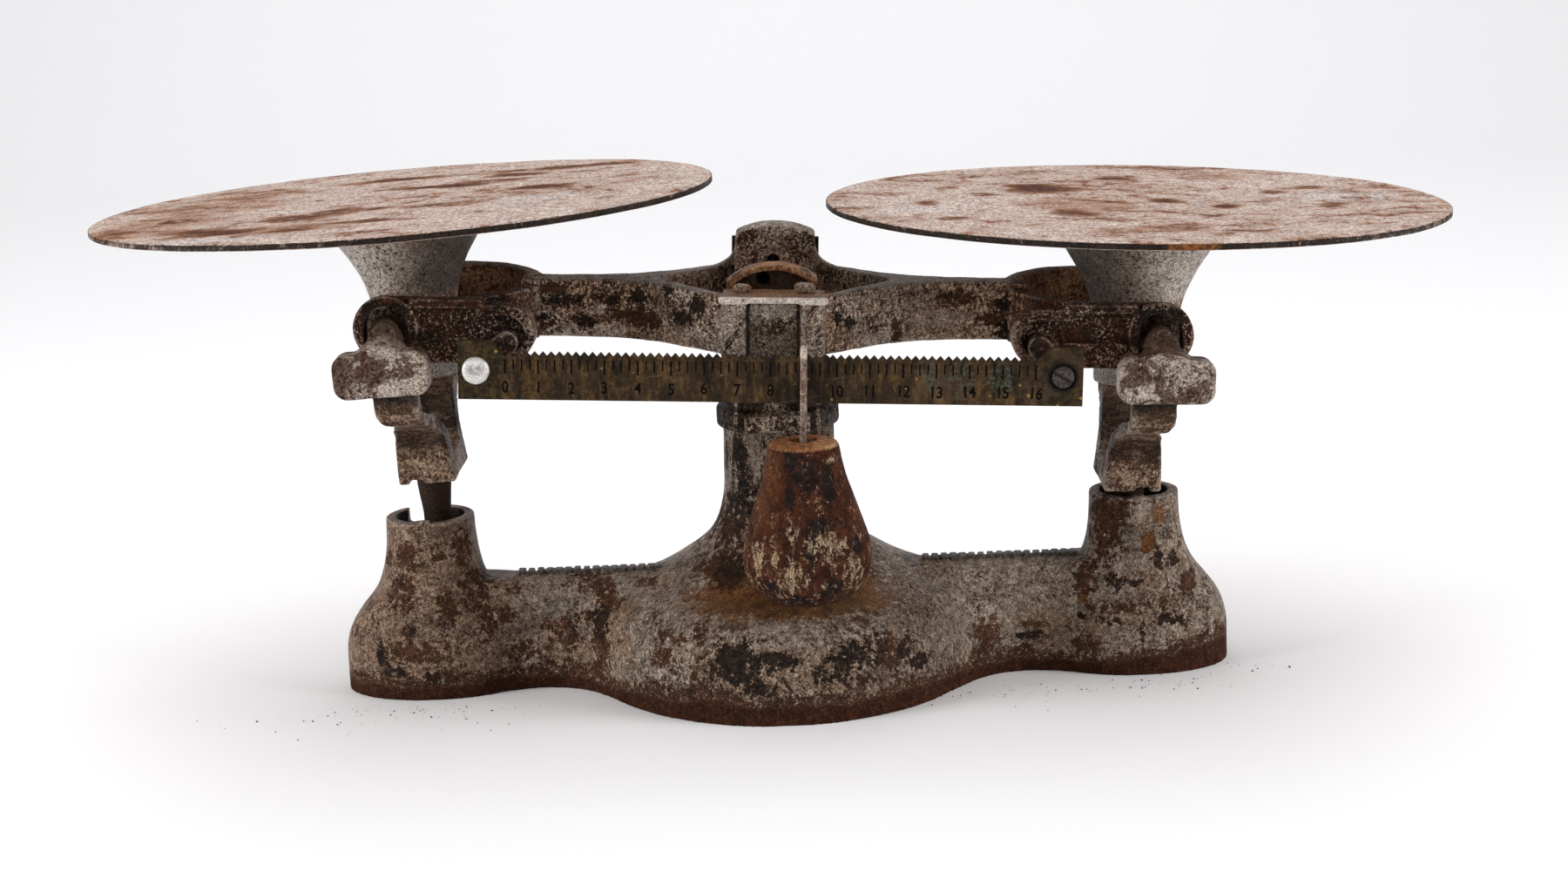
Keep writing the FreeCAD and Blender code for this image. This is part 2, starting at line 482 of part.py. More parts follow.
def carrier(i):
    car = turned(FUNNEL[i], AXIS_IN - FUNNEL_OUT[i]).cut(bowl)
    for m in (-1, 1):
        # ridged cross arm through the tine, with a bar across its outer end
        roof = [(0.0, 6.2), (2.4, 5.2), (4.6, 2.6), (6.3, -1.0), (6.3, -2.4), (-6.3, -2.4), (-6.3, -1.0), (-4.6, 2.6),
                (-2.4, 5.2)]
        y_in, y_out = 8.0, 50.0
        arm = prism_xz(roof, y_in, y_out)
        ends = []
        for yy, pp in ((43.4, [(0.0, 5.7), (4.1, 2.2), (5.6, -0.9), (5.6, -2.0), (-5.6, -2.0), (-5.6, -0.9), (-4.1, 2.2)]),
                       (63.6, [(0.0, -0.6), (6.0, -1.8), (12.6, -4.6), (12.6, -12.0), (-12.6, -12.0), (-12.6, -4.6),
                               (-6.0, -1.8)])):
            q = [V(x, yy, z) for x, z in pp]
            ends.append(Part.makePolygon(q + [q[0]]))
        spread = Part.makeLoft(ends, True, True)
        arm = arm.fuse([spread, cyl(9.6, (0, y_in, 0.6), (0, 1, 0), 24.8)])
        tbar = box(-17.0, 17.0, 54.0, 65.0, -18.6, -2.6)
        tbar = soften(tbar, 4.8, lambda e: abs(e.BoundBox.YLength - 11.0) < 0.01)
        tbar = soften(tbar, 1.8, lambda e: e.BoundBox.YMin > 64.9)
        leg = prism_yz([(59.0, -10.0), (59.0, -26.4), (55.6, -30.4), (30.0, -37.5), (22.5, -41.5), (20.0, -46.0),
                        (20.0, LEG_BOT), (8.5, LEG_BOT), (8.5, -47.0), (14.0, -40.0), (26.0, -33.0), (48.5, -27.5),
                        (50.5, -23.0), (50.5, -10.0)], -5.6, 16.2)
        # the leg is narrower at the top
        leg = leg.common(prism_xz([(-4.0, -5.0), (11.0, -5.0), (11.4, -30.0), (13.8, -40.0), (16.2, LEG_BOT),
                                   (-5.0, LEG_BOT), (-4.8, -46.0), (-3.6, -38.0), (0.4, -31.9), (-2.2, -30.2),
                                   (-3.8, -27.4), (-4.4, -24.0)], 0, 80))
        part = arm.fuse([tbar, leg])
        if m < 0:
            part = part.mirror(V(0, 0, 0), V(0, 1, 0))
        car = car.fuse(part)
    foot = box(-5.0, 15.8, -10.0, 10.0, LEG_BOT, -50.0)
    car = car.fuse(foot)
    # seats for the V-bearings, the stem, and the notch over the cup's nib
    for m in (-1, 1):
        y0, y1 = (33.6, 43.2) if m > 0 else (-43.2, -33.6)
        car = car.cut(box(-3.6, 3.6, y0, y1, -4.0, 1.8))
    car = car.cut(cyl(6.4, (AXIS_IN, 0, LEG_BOT - 1), (0, 0, 1), 10.3))
    car = car.cut(box(-1.0, 4.6, -30.0, -12.0, LEG_BOT - 1, LEG_BOT + 1.6))
    return car.cut(bowl)



brg = []
for m in (-1, 1):
    y0, y1 = (33.6, 43.2) if m > 0 else (-43.2, -33.6)
    b = box(-3.6, 3.6, y0, y1, -2.4, 1.8)
    b = b.cut(prism_xz([(0.0, 0.05), (5.2, -2.95), (-5.2, -2.95)], y0 - 1, y1 + 1))
    brg.append(b)
BEARINGS = Part.makeCompound(brg)

DISC = soften(cyl(PLATE_D / 2, (AXIS_IN, 0, 0), (0, 0, 1), PLATE_T), 0.7,
              lambda e: e.Closed and len(e.Vertexes) == 1)
SPIGOT = cyl(26.4, (AXIS_IN, 0, -2.6), (0, 0, 1), 2.6).cut(cyl(21.0, (AXIS_IN, 0, -4), (0, 0, 1), 8))
ABOVE = box(AXIS_IN - 60, AXIS_IN + 60, -60, 60, 0, 30)


def on_top(s, i):
    s = s.copy()
    s.rotate(V(AXIS_IN, 0, 0), V(1, 0, 0), PITCH[i])
    s.translate(V(0, 0, FUN[i]))
    return s


PIN_Z = -LINK_DROP
stem = cyl(6.4, (AXIS_IN, 0, LEG_BOT), (0, 0, 1), 9.3)
stem = stem.fuse(turned_poly([(0, LEG_BOT), (6.4, LEG_BOT), (6.4, LEG_BOT - 4.0), (5.2, LEG_BOT - 15.0),
                              (5.2, PIN_Z + 14.0), (6.2, PIN_Z + 11.0), (6.2, PIN_Z - 5.5), (5.0, PIN_Z - 6.5),
                              (0, PIN_Z - 6.5)], AXIS_IN))
stem = stem.cut(box(AXIS_IN - 10, AXIS_IN + 10, -2.9, 2.9, PIN_Z - 10, PIN_Z + 8.5))
stem = stem.cut(cyl(2.5, (AXIS_IN, -10, PIN_Z), (0, 1, 0), 20))
STEM = stem
STEM_PIN = cyl(2.5, (AXIS_IN, -6.0, PIN_Z), (0, 1, 0), 12.0)

SLUG = turned_poly([(0, 4.0), (12.0, 4.0), (12.5, 9.0), (13.9, 15.0), (16.3, 21.0), (19.8, 27.0), (23.2, 32.2),
                    (0, 32.2)], AXIS_IN)

LEFT_PIVOT = beam_point(-ARM, ZC - END_DROP)
RIGHT_PIVOT = beam_point(ARM, ZC - END_DROP)


def seat(s, left):
    s = s.copy()
    if not left:
        s = mirror_x(s)
    # both carriers lean outward: the top of the left one to the left
    s.rotate(V(0, 0, 0), V(0, 1, 0), -LEAN if left else LEAN)
    s.translate(LEFT_PIVOT if left else RIGHT_PIVOT)
    return s


def seat_point(x, z, left):
    sx = 1 if left else -1
    r = FreeCAD.Rotation(V(0, 1, 0), -LEAN if left else LEAN)
    return (LEFT_PIVOT if left else RIGHT_PIVOT) + r.multVec(V(sx * x, 0, z))


for left, tag in ((True, "left"), (False, "right")):
    i = 0 if left else 1
    done("carrier_" + tag, seat(carrier(i).cut(on_top(ABOVE, i)), left))
    done("end_bearings_" + tag, seat(BEARINGS, left))
    done("plate_" + tag, seat(on_top(DISC, i), left))
    done("plate_spigot_" + tag, seat(on_top(SPIGOT, i), left))
    done("stem_" + tag, seat(STEM, left))
    done("stem_pin_" + tag, seat(STEM_PIN, left))
done("tare_slug", seat(SLUG, False))

# ---------------------------------------------------------------- check link, its hanger and its pivot
PL = seat_point(AXIS_IN, PIN_Z, True)
PR = seat_point(AXIS_IN, PIN_Z, False)
MID = (PL + PR) * 0.5
LINK_L = (PR - PL).Length / 2.0
LINK_A = math.degrees(math.atan2(PL.z - PR.z, PR.x - PL.x))
link = box(-LINK_L, LINK_L, -2.5, 2.5, -3.8, 3.8)
link = link.fuse([cyl(7.0, (0, -2.5, 0), (0, 1, 0), 5.0)] +
                 [cyl(5.6, (s * LINK_L, -2.5, 0), (0, 1, 0), 5.0) for s in (-1, 1)])
for s in (-1, 1):
    link = link.cut(cyl(2.5 + SHAFT_GAP, (s * LINK_L, -6, 0), (0, 1, 0), 12))
link = link.cut(cyl(4.0 + SHAFT_GAP, (0, -6, 0), (0, 1, 0), 12))
link.rotate(V(0, 0, 0), V(0, 1, 0), LINK_A)
link.translate(MID)
done("check_link", link)
pivot = cyl(4.0, (MID.x, -9.0, MID.z), (0, 1, 0), 18.0)
done("check_pivot", pivot)
H_TOP = INNER_TOP
hanger = box(-9.0, 9.0, 3.5, 7.5, MID.z - 8.0, H_TOP).fuse([
    box(-9.0, 9.0, -7.5, -3.5, MID.z - 8.0, H_TOP), box(-9.0, 9.0, -21.5, 21.5, H_TOP - 4.0, H_TOP)])
hanger = hanger.cut(cyl(4.0, (MID.x, -10, MID.z), (0, 1, 0), 20))
for s in (-1, 1):
    hanger = hanger.cut(cyl(2.6, (0, s * 16.5, 20), (0, 0, 1), 30))
done("check_hanger", hanger)
hs = []
for s in (-1, 1):
    t = cyl(2.5, (0, s * 16.5, H_TOP - 4.0), (0, 0, 1), 7.4).fuse(
        cyl(4.4, (0, s * 16.5, H_TOP - 6.6), (0, 0, 1), 2.6))
    hs.append(t.removeSplitter())
done("hanger_screws", Part.makeCompound(hs))

# ---------------------------------------------------------------- poise: hook, pear, pin and plug
px_local = ZERO_X + POISE_AT * OUNCE
top_pt = beam_point(px_local, BZT - px_local * math.sin(math.radians(BRASS_TILT)))
BEND = -1.4                # the wire's lower end lies this far to the left
TX, PX, PY = top_pt.x, top_pt.x + BEND, BRASS_Y
W = 1.25
z_bar = top_pt.z + 0.35 + W
PIN_H = POISE_Z + 51.0
y_front = BRASS_Y - BRASS_T / 2 - 0.5 - W
y_back = BRASS_Y + BRASS_T / 2 + 0.5 + W


def rod(path, r):
    out = []
    for a, b in zip(path[:-1], path[1:]):
        d = V(*b) - V(*a)
        out.append(Part.makeCylinder(r, d.Length, V(*a), d))
    balls = [Part.makeSphere(r, V(*p)) for p in path[1:-1]]
    return out[0].fuse(out[1:] + balls)


hook = rod([(TX, y_back, z_bar - 9.0), (TX, y_back, z_bar), (TX, y_front, z_bar), (TX + BEND * 0.7, y_front, z_bar - 24.0),
            (PX, PY, z_bar - 31.0), (PX, PY, PIN_H + 2.0)], W)
hook = hook.fuse(cyl(3.2, (PX, PY - 1.6, PIN_H), (0, 1, 0), 3.2))
hook = hook.cut(cyl(1.3 + SHAFT_GAP, (PX, PY - 5, PIN_H), (0, 1, 0), 10))
done("poise_hook", hook)

pear_profile = [(10.0, 0.6), (14.8, 2.4), (18.0, 4.8), (20.8, 8.2), (22.5, 12.6), (23.0, 17.4), (22.2, 23.6),
                (20.4, 29.8), (18.2, 36.0), (16.1, 42.2), (14.4, 48.4), (13.2, 54.6), (12.6, 57.4)]
pear = turned([(r, POISE_Z + z) for r, z in pear_profile], PX, PY)
cap = turned_poly([(0, POISE_Z + 57.4), (12.6, POISE_Z + 57.4), (11.6, POISE_Z + 58.6), (6.0, POISE_Z + 59.4),
                   (0, POISE_Z + 59.4)], PX, PY)
toe = turned_poly([(0, POISE_Z), (7.4, POISE_Z), (10.0, POISE_Z + 0.6), (0, POISE_Z + 0.6)], PX, PY)
pear = pear.fuse([cap, toe])
pear = pear.cut(cyl(4.6, (PX, PY, PIN_H - 4.4), (0, 0, 1), 30.0))
pear = pear.cut(cyl(1.3, (PX, PY - 11.0, PIN_H), (0, 1, 0), 22.0))
pear = pear.cut(cyl(5.5, (PX, PY, POISE_Z - 1.0), (0, 0, 1), 13.0))
# adjusting cavity, closed below by the plug
pear = pear.cut(turned_poly([(0, POISE_Z + 8.0), (13.0, POISE_Z + 8.0), (14.4, POISE_Z + 14.0), (14.4, POISE_Z + 22.0),
                             (9.8, POISE_Z + 36.0), (8.4, POISE_Z + 42.0), (0, POISE_Z + 42.0)], PX, PY))
done("poise_body", pear)
done("poise_pin", cyl(1.3, (PX, PY - 11.0, PIN_H), (0, 1, 0), 22.0))
done("poise_plug", cyl(5.5, (PX, PY, POISE_Z), (0, 0, 1), 8.0))

# ---------------------------------------------------------------- write
for name in sorted(nodes):
    s = nodes[name]
    ok = s.isValid()
    print("%-20s solids %d valid %s vol %.0f" % (name, len(s.Solids), ok, s.Volume))
    s.exportStep("parts/%s.step" % name)
print("left pivot", LEFT_PIVOT, "right pivot", RIGHT_PIVOT)
print("link pins", PL, PR, "mid", MID, "half", LINK_L, "angle", LINK_A, "ratio", LINK_A / TILT)
print("poise x", PX, "top x", TX, "bar z", z_bar, "pin z", PIN_H)
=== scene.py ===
import math
import random

import bmesh
import bpy
from mathutils import Matrix, Vector, noise


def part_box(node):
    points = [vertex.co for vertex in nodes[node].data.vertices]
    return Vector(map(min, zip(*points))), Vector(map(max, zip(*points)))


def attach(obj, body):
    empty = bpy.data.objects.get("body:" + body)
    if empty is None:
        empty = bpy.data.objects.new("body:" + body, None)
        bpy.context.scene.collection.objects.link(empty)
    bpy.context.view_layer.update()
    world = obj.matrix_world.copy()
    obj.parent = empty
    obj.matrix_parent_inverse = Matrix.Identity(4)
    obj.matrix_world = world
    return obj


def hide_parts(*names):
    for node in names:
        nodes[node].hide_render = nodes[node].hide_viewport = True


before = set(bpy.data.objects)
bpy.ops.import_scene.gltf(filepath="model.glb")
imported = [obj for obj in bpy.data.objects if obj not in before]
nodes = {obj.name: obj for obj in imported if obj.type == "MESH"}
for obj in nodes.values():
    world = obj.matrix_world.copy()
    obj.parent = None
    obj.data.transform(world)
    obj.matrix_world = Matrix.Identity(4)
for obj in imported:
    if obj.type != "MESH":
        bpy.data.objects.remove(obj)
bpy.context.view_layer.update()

scene = bpy.context.scene


# ------------------------------------------------------------------ shader building
class Mat:
    """A material under construction: short names for the nodes used here. Lengths in the textures are millimetres."""

    def __init__(self, name):
        self.m = bpy.data.materials.new(name)
        self.m.use_nodes = True
        self.t = self.m.node_tree
        self.t.nodes.clear()
        self.out = self.t.nodes.new("ShaderNodeOutputMaterial")
        self.bsdf = self.t.nodes.new("ShaderNodeBsdfPrincipled")
        self.t.links.new(self.bsdf.outputs[0], self.out.inputs[0])
        tc = self.t.nodes.new("ShaderNodeTexCoord")
        self.p = self.map(tc.outputs["Object"], scale=(1000, 1000, 1000))
        self.x, self.y, self.z = self.xyz(self.p)
        self.q = self.p

    def put(self, v, socket):
        if isinstance(v, bpy.types.NodeSocket):
            self.t.links.new(v, socket)
        elif isinstance(v, (tuple, list)) and len(v) == 3 and len(socket.default_value) == 4:
            socket.default_value = (v[0], v[1], v[2], 1.0)
        else:
            socket.default_value = v

    def map(self, v, scale=(1, 1, 1), rot=(0, 0, 0), loc=(0, 0, 0)):
        n = self.t.nodes.new("ShaderNodeMapping")
        self.t.links.new(v, n.inputs["Vector"])
        n.inputs["Scale"].default_value = scale
        n.inputs["Rotation"].default_value = rot
        n.inputs["Location"].default_value = loc
        return n.outputs[0]

    def xyz(self, v):
        n = self.t.nodes.new("ShaderNodeSeparateXYZ")
        self.t.links.new(v, n.inputs[0])
        return n.outputs[0], n.outputs[1], n.outputs[2]

    def noise(self, scale, detail=5.0, rough=0.6, dist=0.0, vec=None, seed=0.0, stretch=None):
        n = self.t.nodes.new("ShaderNodeTexNoise")
        v = vec if vec is not None else self.p
        if stretch is not None or seed:
            v = self.map(v, scale=stretch or (1, 1, 1), loc=(seed * 17.3, seed * -9.1, seed * 5.7))
        self.t.links.new(v, n.inputs["Vector"])
        n.inputs["Scale"].default_value = scale
        n.inputs["Detail"].default_value = detail
        n.inputs["Roughness"].default_value = rough
        n.inputs["Distortion"].default_value = dist
        return n.outputs["Fac"]

    def voro(self, scale, vec=None, seed=0.0, rand=1.0, stretch=None, smooth=None, out="Distance"):
        n = self.t.nodes.new("ShaderNodeTexVoronoi")
        n.feature = "SMOOTH_F1" if smooth else "F1"
        v = vec if vec is not None else self.p
        if stretch is not None or seed:
            v = self.map(v, scale=stretch or (1, 1, 1), loc=(seed * 13.7, seed * 7.9, seed * -11.3))
        self.t.links.new(v, n.inputs["Vector"])
        n.inputs["Scale"].default_value = scale
        n.inputs["Randomness"].default_value = rand
        if smooth:
            n.inputs["Smoothness"].default_value = smooth
        return n.outputs[out]

    def math(self, op, a, b=0.0, c=None, clamp=False):
        n = self.t.nodes.new("ShaderNodeMath")
        n.operation = op
        n.use_clamp = clamp
        self.put(a, n.inputs[0])
        self.put(b, n.inputs[1])
        if c is not None:
            self.put(c, n.inputs[2])
        return n.outputs[0]

    def add(self, a, b):
        return self.math("ADD", a, b)

    def mul(self, a, b):
        return self.math("MULTIPLY", a, b)

    def inv(self, a):
        return self.math("SUBTRACT", 1.0, a)

    def both(self, *v):
        r = v[0]
        for k in v[1:]:
            r = self.mul(r, k)
        return r

    def most(self, a, b):
        return self.math("MAXIMUM", a, b)

    def step(self, v, lo, hi, a=0.0, b=1.0):
        """Smooth step of v from lo to hi; lo may be larger than hi."""
        n = self.t.nodes.new("ShaderNodeMapRange")
        n.interpolation_type = "SMOOTHSTEP"
        if lo > hi:
            lo, hi, a, b = hi, lo, b, a
        self.put(v, n.inputs["Value"])
        n.inputs["From Min"].default_value = lo
        n.inputs["From Max"].default_value = hi
        n.inputs["To Min"].default_value = a
        n.inputs["To Max"].default_value = b
        return n.outputs[0]

    def ramp(self, v, stops):
        n = self.t.nodes.new("ShaderNodeValToRGB")
        self.t.links.new(v, n.inputs[0])
        e = n.color_ramp.elements
        while len(e) < len(stops):
            e.new(0.5)
        for k, (pos, col) in zip(e, sorted(stops)):
            k.position = pos
        for k, (pos, col) in zip(e, sorted(stops)):
            k.color = (col[0], col[1], col[2], 1.0)
        return n.outputs[0]

    def mix(self, f, a, b, mode="MIX"):
        n = self.t.nodes.new("ShaderNodeMix")
        n.data_type = "RGBA"
        n.blend_type = mode
        self.put(f, n.inputs[0])
        self.put(a, n.inputs[6])
        self.put(b, n.inputs[7])
        return n.outputs[2]

    def mixf(self, f, a, b):
        n = self.t.nodes.new("ShaderNodeMix")
        n.data_type = "FLOAT"
        self.put(f, n.inputs[0])
        self.put(a, n.inputs[2])
        self.put(b, n.inputs[3])
        return n.outputs[0]

    def spot(self, centre, size, lo=1.0, hi=0.45, edge=None):
        """1 inside an ellipsoid (mm), 0 outside, with an uneven border if edge is a noise socket."""
        d = []
        for v, c, s in zip((self.x, self.y, self.z), centre, size):
            if s is None:
                continue
            k = self.math("SUBTRACT", v, c)
            k = self.mul(k, 1.0 / s)
            d.append(self.mul(k, k))
        r = d[0]
        for k in d[1:]:
            r = self.add(r, k)
        if edge is not None:
            r = self.add(r, self.math("MULTIPLY_ADD", edge, 1.6, -0.8))
        return self.step(r, lo, hi)

    def wide(self, v, k):
        """Noise stretched about its mean."""
        return self.math("MULTIPLY_ADD", v, k, 0.5 - 0.5 * k)

    def spots(self, rows, deep=9.0, flat=False):
        """Distance to the nearest of a few stains, 1 at their border. rows: x, y, z, half width, half height (mm);
        flat rows: x, y, half width, half depth."""
        near = None
        for i, r in enumerate(rows):
            if i % 5 == 4:
                # ties a group of stains to the one before it, so that they are worked out one group after the other
                n = self.t.nodes.new("ShaderNodeVectorMath")
                n.operation = "MULTIPLY_ADD"
                self.t.links.new(near, n.inputs[0])
                n.inputs[1].default_value = (1e-9, 1e-9, 1e-9)
                self.t.links.new(self.p, n.inputs[2])
                self.q = n.outputs["Vector"]
            if flat:
                c, h = (r[0], r[1], 0.0), (r[2], r[3], 1e6)
            else:
                c, h = r[:3], (r[3], deep, r[4])
            q = self.map(self.q, scale=tuple(1.0 / k for k in h), loc=tuple(-a / k for a, k in zip(c, h)))
            n = self.t.nodes.new("ShaderNodeVectorMath")
            n.operation = "LENGTH"
            self.t.links.new(q, n.inputs[0])
            d = n.outputs["Value"]
            near = d if near is None else self.math("MINIMUM", near, d)
        return near

    def pointy(self):
        n = self.t.nodes.new("ShaderNodeNewGeometry")
        return n.outputs["Pointiness"]

    def bump(self, h, strength=0.5, dist=0.0005, normal=None):
        n = self.t.nodes.new("ShaderNodeBump")
        n.inputs["Strength"].default_value = strength
        n.inputs["Distance"].default_value = dist
        self.t.links.new(h, n.inputs["Height"])
        if normal is not None:
            self.t.links.new(normal, n.inputs["Normal"])
        return n.outputs[0]

    def finish(self, color, rough, normal=None, metal=0.0, spec=None):
        self.put(color, self.bsdf.inputs["Base Color"])
        self.put(rough, self.bsdf.inputs["Roughness"])
        self.put(metal, self.bsdf.inputs["Metallic"])
        if spec is not None:
            self.bsdf.inputs["Specular IOR Level"].default_value = spec
        if normal is not None:
            self.put(normal, self.bsdf.inputs["Normal"])
        return self.m


# ------------------------------------------------------------------ worn silver-grey paint over rusting cast iron
BLACK = (0.0070, 0.0052, 0.0044)
IRON = (0.0210, 0.0142, 0.0108)
BROWN = (0.040, 0.0185, 0.0105)
RUST = (0.105, 0.043, 0.0190)

# places of the larger stains on the base: x, y, z, half width, half height (mm)
BASE_MOTTLE = [(-143, -18, 39, 4.6, 6.6), (-140, -16, 54, 3.9, 4.6), (-129, -17, 53, 2.6, 2.0), (-120, -12, 55, 3.0, 7.9),
               (-116, -11, 42, 8.6, 4.0), (-116, -15, 36, 4.0, 4.0), (-126, -20, 33, 3.0, 5.3), (-141, -22, 26, 2.6, 2.3),
               (-140, -23, 18, 10.6, 4.0), (-102, -10, 38, 2.6, 1.7), (-83, -13, 20, 5.3, 3.6), (-69, -24, 17, 3.3, 7.2),
               (-52, -12, 40, 5.3, 2.0), (-41, -51, 29, 7.0, 2.2), (-28, -57, 32, 4.4, 2.8), (73, -21, 13, 4.3, 8.5),
               (113, -14, 36, 3.9, 9.2), (121, -12, 56, 5.9, 13.8), (127, -16, 61, 3.9, 5.2), (152, -15, 33, 3.0, 3.6),
               (82, -12, 29, 2.3, 1.6), (-19, -15, 62, 4.6, 7.2)]
BASE_RUST = [(-149, -7, 52, 2.7, 3.3), (-105, -13, 30, 3.6, 3.0), (-112, -15, 30, 2.6, 6.6), (-72, -8, 40, 8.6, 3.3),
             (-65, -16, 34, 5.9, 3.0), (-75, -15, 27, 4.3, 3.0), (-86, -12, 25, 5.3, 2.0), (-100, -14, 15, 6.6, 3.6),
             (-45, -51, 23, 4.1, 3.5), (37, -58, 20, 5.0, 8.2), (77, -16, 17, 4.9, 4.9), (93, -12, 18, 5.0, 1.7),
             (113, -20, 12, 5.3, 3.6), (136, -17, 50, 2.9, 3.9), (71, -17, 29, 3.9, 2.6), (126, -22, 26, 10.5, 2.6),
             (-25, -27, 47, 8.4, 4.5)]
BASE_BARE = [(-152, -20, 17, 2.0, 5.3), (-148, -22, 12, 5.0, 3.3), (-132, -24, 9, 4.3, 2.6), (-92, -13, 6, 6.6, 3.3),
             (-69, -19, 28, 3.3, 5.2), (-16, -66, 24, 9.4, 5.6), (-17, -67, 20, 9.4, 3.8), (-2, -68, 23, 8.1, 3.7),
             (-10, -69, 14, 4.4, 2.5), (18, -67, 20, 9.4, 4.4), (26, -63, 23, 6.9, 4.4), (31, -59, 28, 4.4, 3.1),
             (44, -52, 23, 3.2, 5.1), (49, -49, 17, 4.1, 3.2), (94, -13, 14, 6.6, 2.0), (124, -19, 35, 3.3, 2.6),
             (131, -20, 35, 2.9, 1.6), (140, -17, 43, 2.0, 4.9), (146, -14, 42, 2.0, 3.3), (144, -22, 21, 7.2, 2.0),
             (121, -22, 21, 5.3, 1.6), (133, -24, 16, 1.0, 4.3), (111, -17, 22, 1.6, 1.3), (-14, -16, 81, 2.9, 13.6),
             (-17, -14, 71, 4.5, 2.9), (-19, -33, 46, 4.2, 5.1)]
BASE_ORANGE = [(111, -16, 28, 2.0, 1.6), (141, -15, 59, 3.0, 3.6), (136, -17, 50, 2.6, 3.4)]
BEAM_RUST = [(-81, -5, 152, 6.5, 2.9), (-49, -11, 140, 8.0, 2.6), (-85, -5, 137, 6.5, 2.6), (45, -14, 132, 1.9, 4.2),
             (68, -6, 142, 6.5, 2.6), (81, -5, 134, 5.2, 2.3)]
BEAM_BARE = [(-77, -5, 147, 7.1, 2.6), (-49, -11, 148, 3.9, 2.9), (-59, -8, 147, 1.3, 2.3), (-27, -30, 147, 3.2, 3.8),
             (-32, -25, 142, 3.8, 2.5), (-70, -6, 139, 3.2, 3.2), (-86, -7, 141, 4.5, 1.3), (-38, -20, 152, 1.9, 1.9),
             (28, -30, 139, 2.5, 1.9), (24, -35, 142, 1.9, 2.5), (86, -5, 139, 6.5, 2.6), (86, -5, 128, 3.9, 4.2),
             (64, -7, 144, 2.6, 1.3), (-1, -42, 140, 8.1, 2.5), (-6, -41, 134, 3.1, 1.9)]
BEAM_PALE = [(-74, -6, 134, 16.2, 1.6), (-61, -7, 136, 6.5, 1.9), (-80, -5, 136, 8.4, 2.3), (-64, -6, 144, 2.6, 1.6),
             (60, -7, 135, 9.7, 2.6), (42, -16, 132, 2.6, 1.9), (35, -22, 130, 9.6, 2.2), (55, -9, 128, 12.9, 1.3),
             (-15, -45, 141, 2.5, 6.2)]
POISE_BARE = [(5, -72, 98, 2.4, 3.7), (10, -74, 93, 4.3, 6.1), (18, -72, 89, 2.4, 9.2), (4, -75, 85, 1.8, 4.3),
              (14, -79, 75, 4.9, 3.0), (-4, -77, 53, 4.3, 2.5), (18, -80, 53, 4.3, 3.1), (27, -73, 67, 1.8, 3.7),
              (11, -82, 68, 2.4, 6.1), (5, -79, 49, 4.9, 1.8)]
POISE_PALE = [(3, -82, 59, 5.5, 4.9), (15, -81, 69, 5.5, 4.3), (26, -76, 58, 3.1, 6.1), (-8, -75, 64, 1.8, 6.1),
              (5, -80, 74, 2.4, 4.3), (14, -76, 83, 0.9, 4.9), (21, -79, 68, 3.0, 3.0), (-2, -80, 64, 2.4, 1.8),
              (19, -69, 97, 2.4, 1.2)]
POISE_ORANGE = [(-2, -68, 92, 3.4, 9.2), (15, -79, 74, 3.7, 1.8), (-6, -66, 80, 3.0, 8.0)]
# stains on the plates: x, y, half width, half depth (mm)
LEFT_RUST = [(-155, -31, 10, 8), (-143, -28, 8, 5), (-119, -30, 11, 7), (-120, 30, 15, 5), (-104, 37, 13, 5), (-139, 68, 21, 5),
             (-96, 53, 11, 5), (-136, -66, 12, 5), (-196, -67, 12, 11), (-171, -39, 13, 8), (-84, 70, 21, 5), (-85, 5, 10, 5)]
LEFT_FILM = [(-215, -24, 23, 15), (-206, 10, 23, 16), (-197, 47, 17, 11), (-159, 67, 17, 7), (-165, -72, 18, 10),
             (-228, -50, 18, 14)]
LEFT_PALE = [(-187, -89, 18, 8), (-175, -18, 10, 7), (-81, -31, 19, 10)]
RIGHT_RUST = [(103, 27, 11, 9), (67, 34, 5, 5), (80, 14, 5, 5), (108, -40, 8, 7), (64, -52, 5, 5), (58, -9, 4, 7), (166, -20, 4, 5),
              (99, 40, 9, 5), (205, 36, 5, 5), (205, -15, 5, 5), (189, 22, 4, 5), (146, -3, 6, 5), (135, 62, 7, 5)]
RIGHT_FILM = [(173, 69, 12, 11), (124, -84, 15, 5), (139, -77, 9, 5), (110, -16, 19, 17)]
RIGHT_PALE = [(56, -29, 16, 10), (213, 10, 20, 11)]


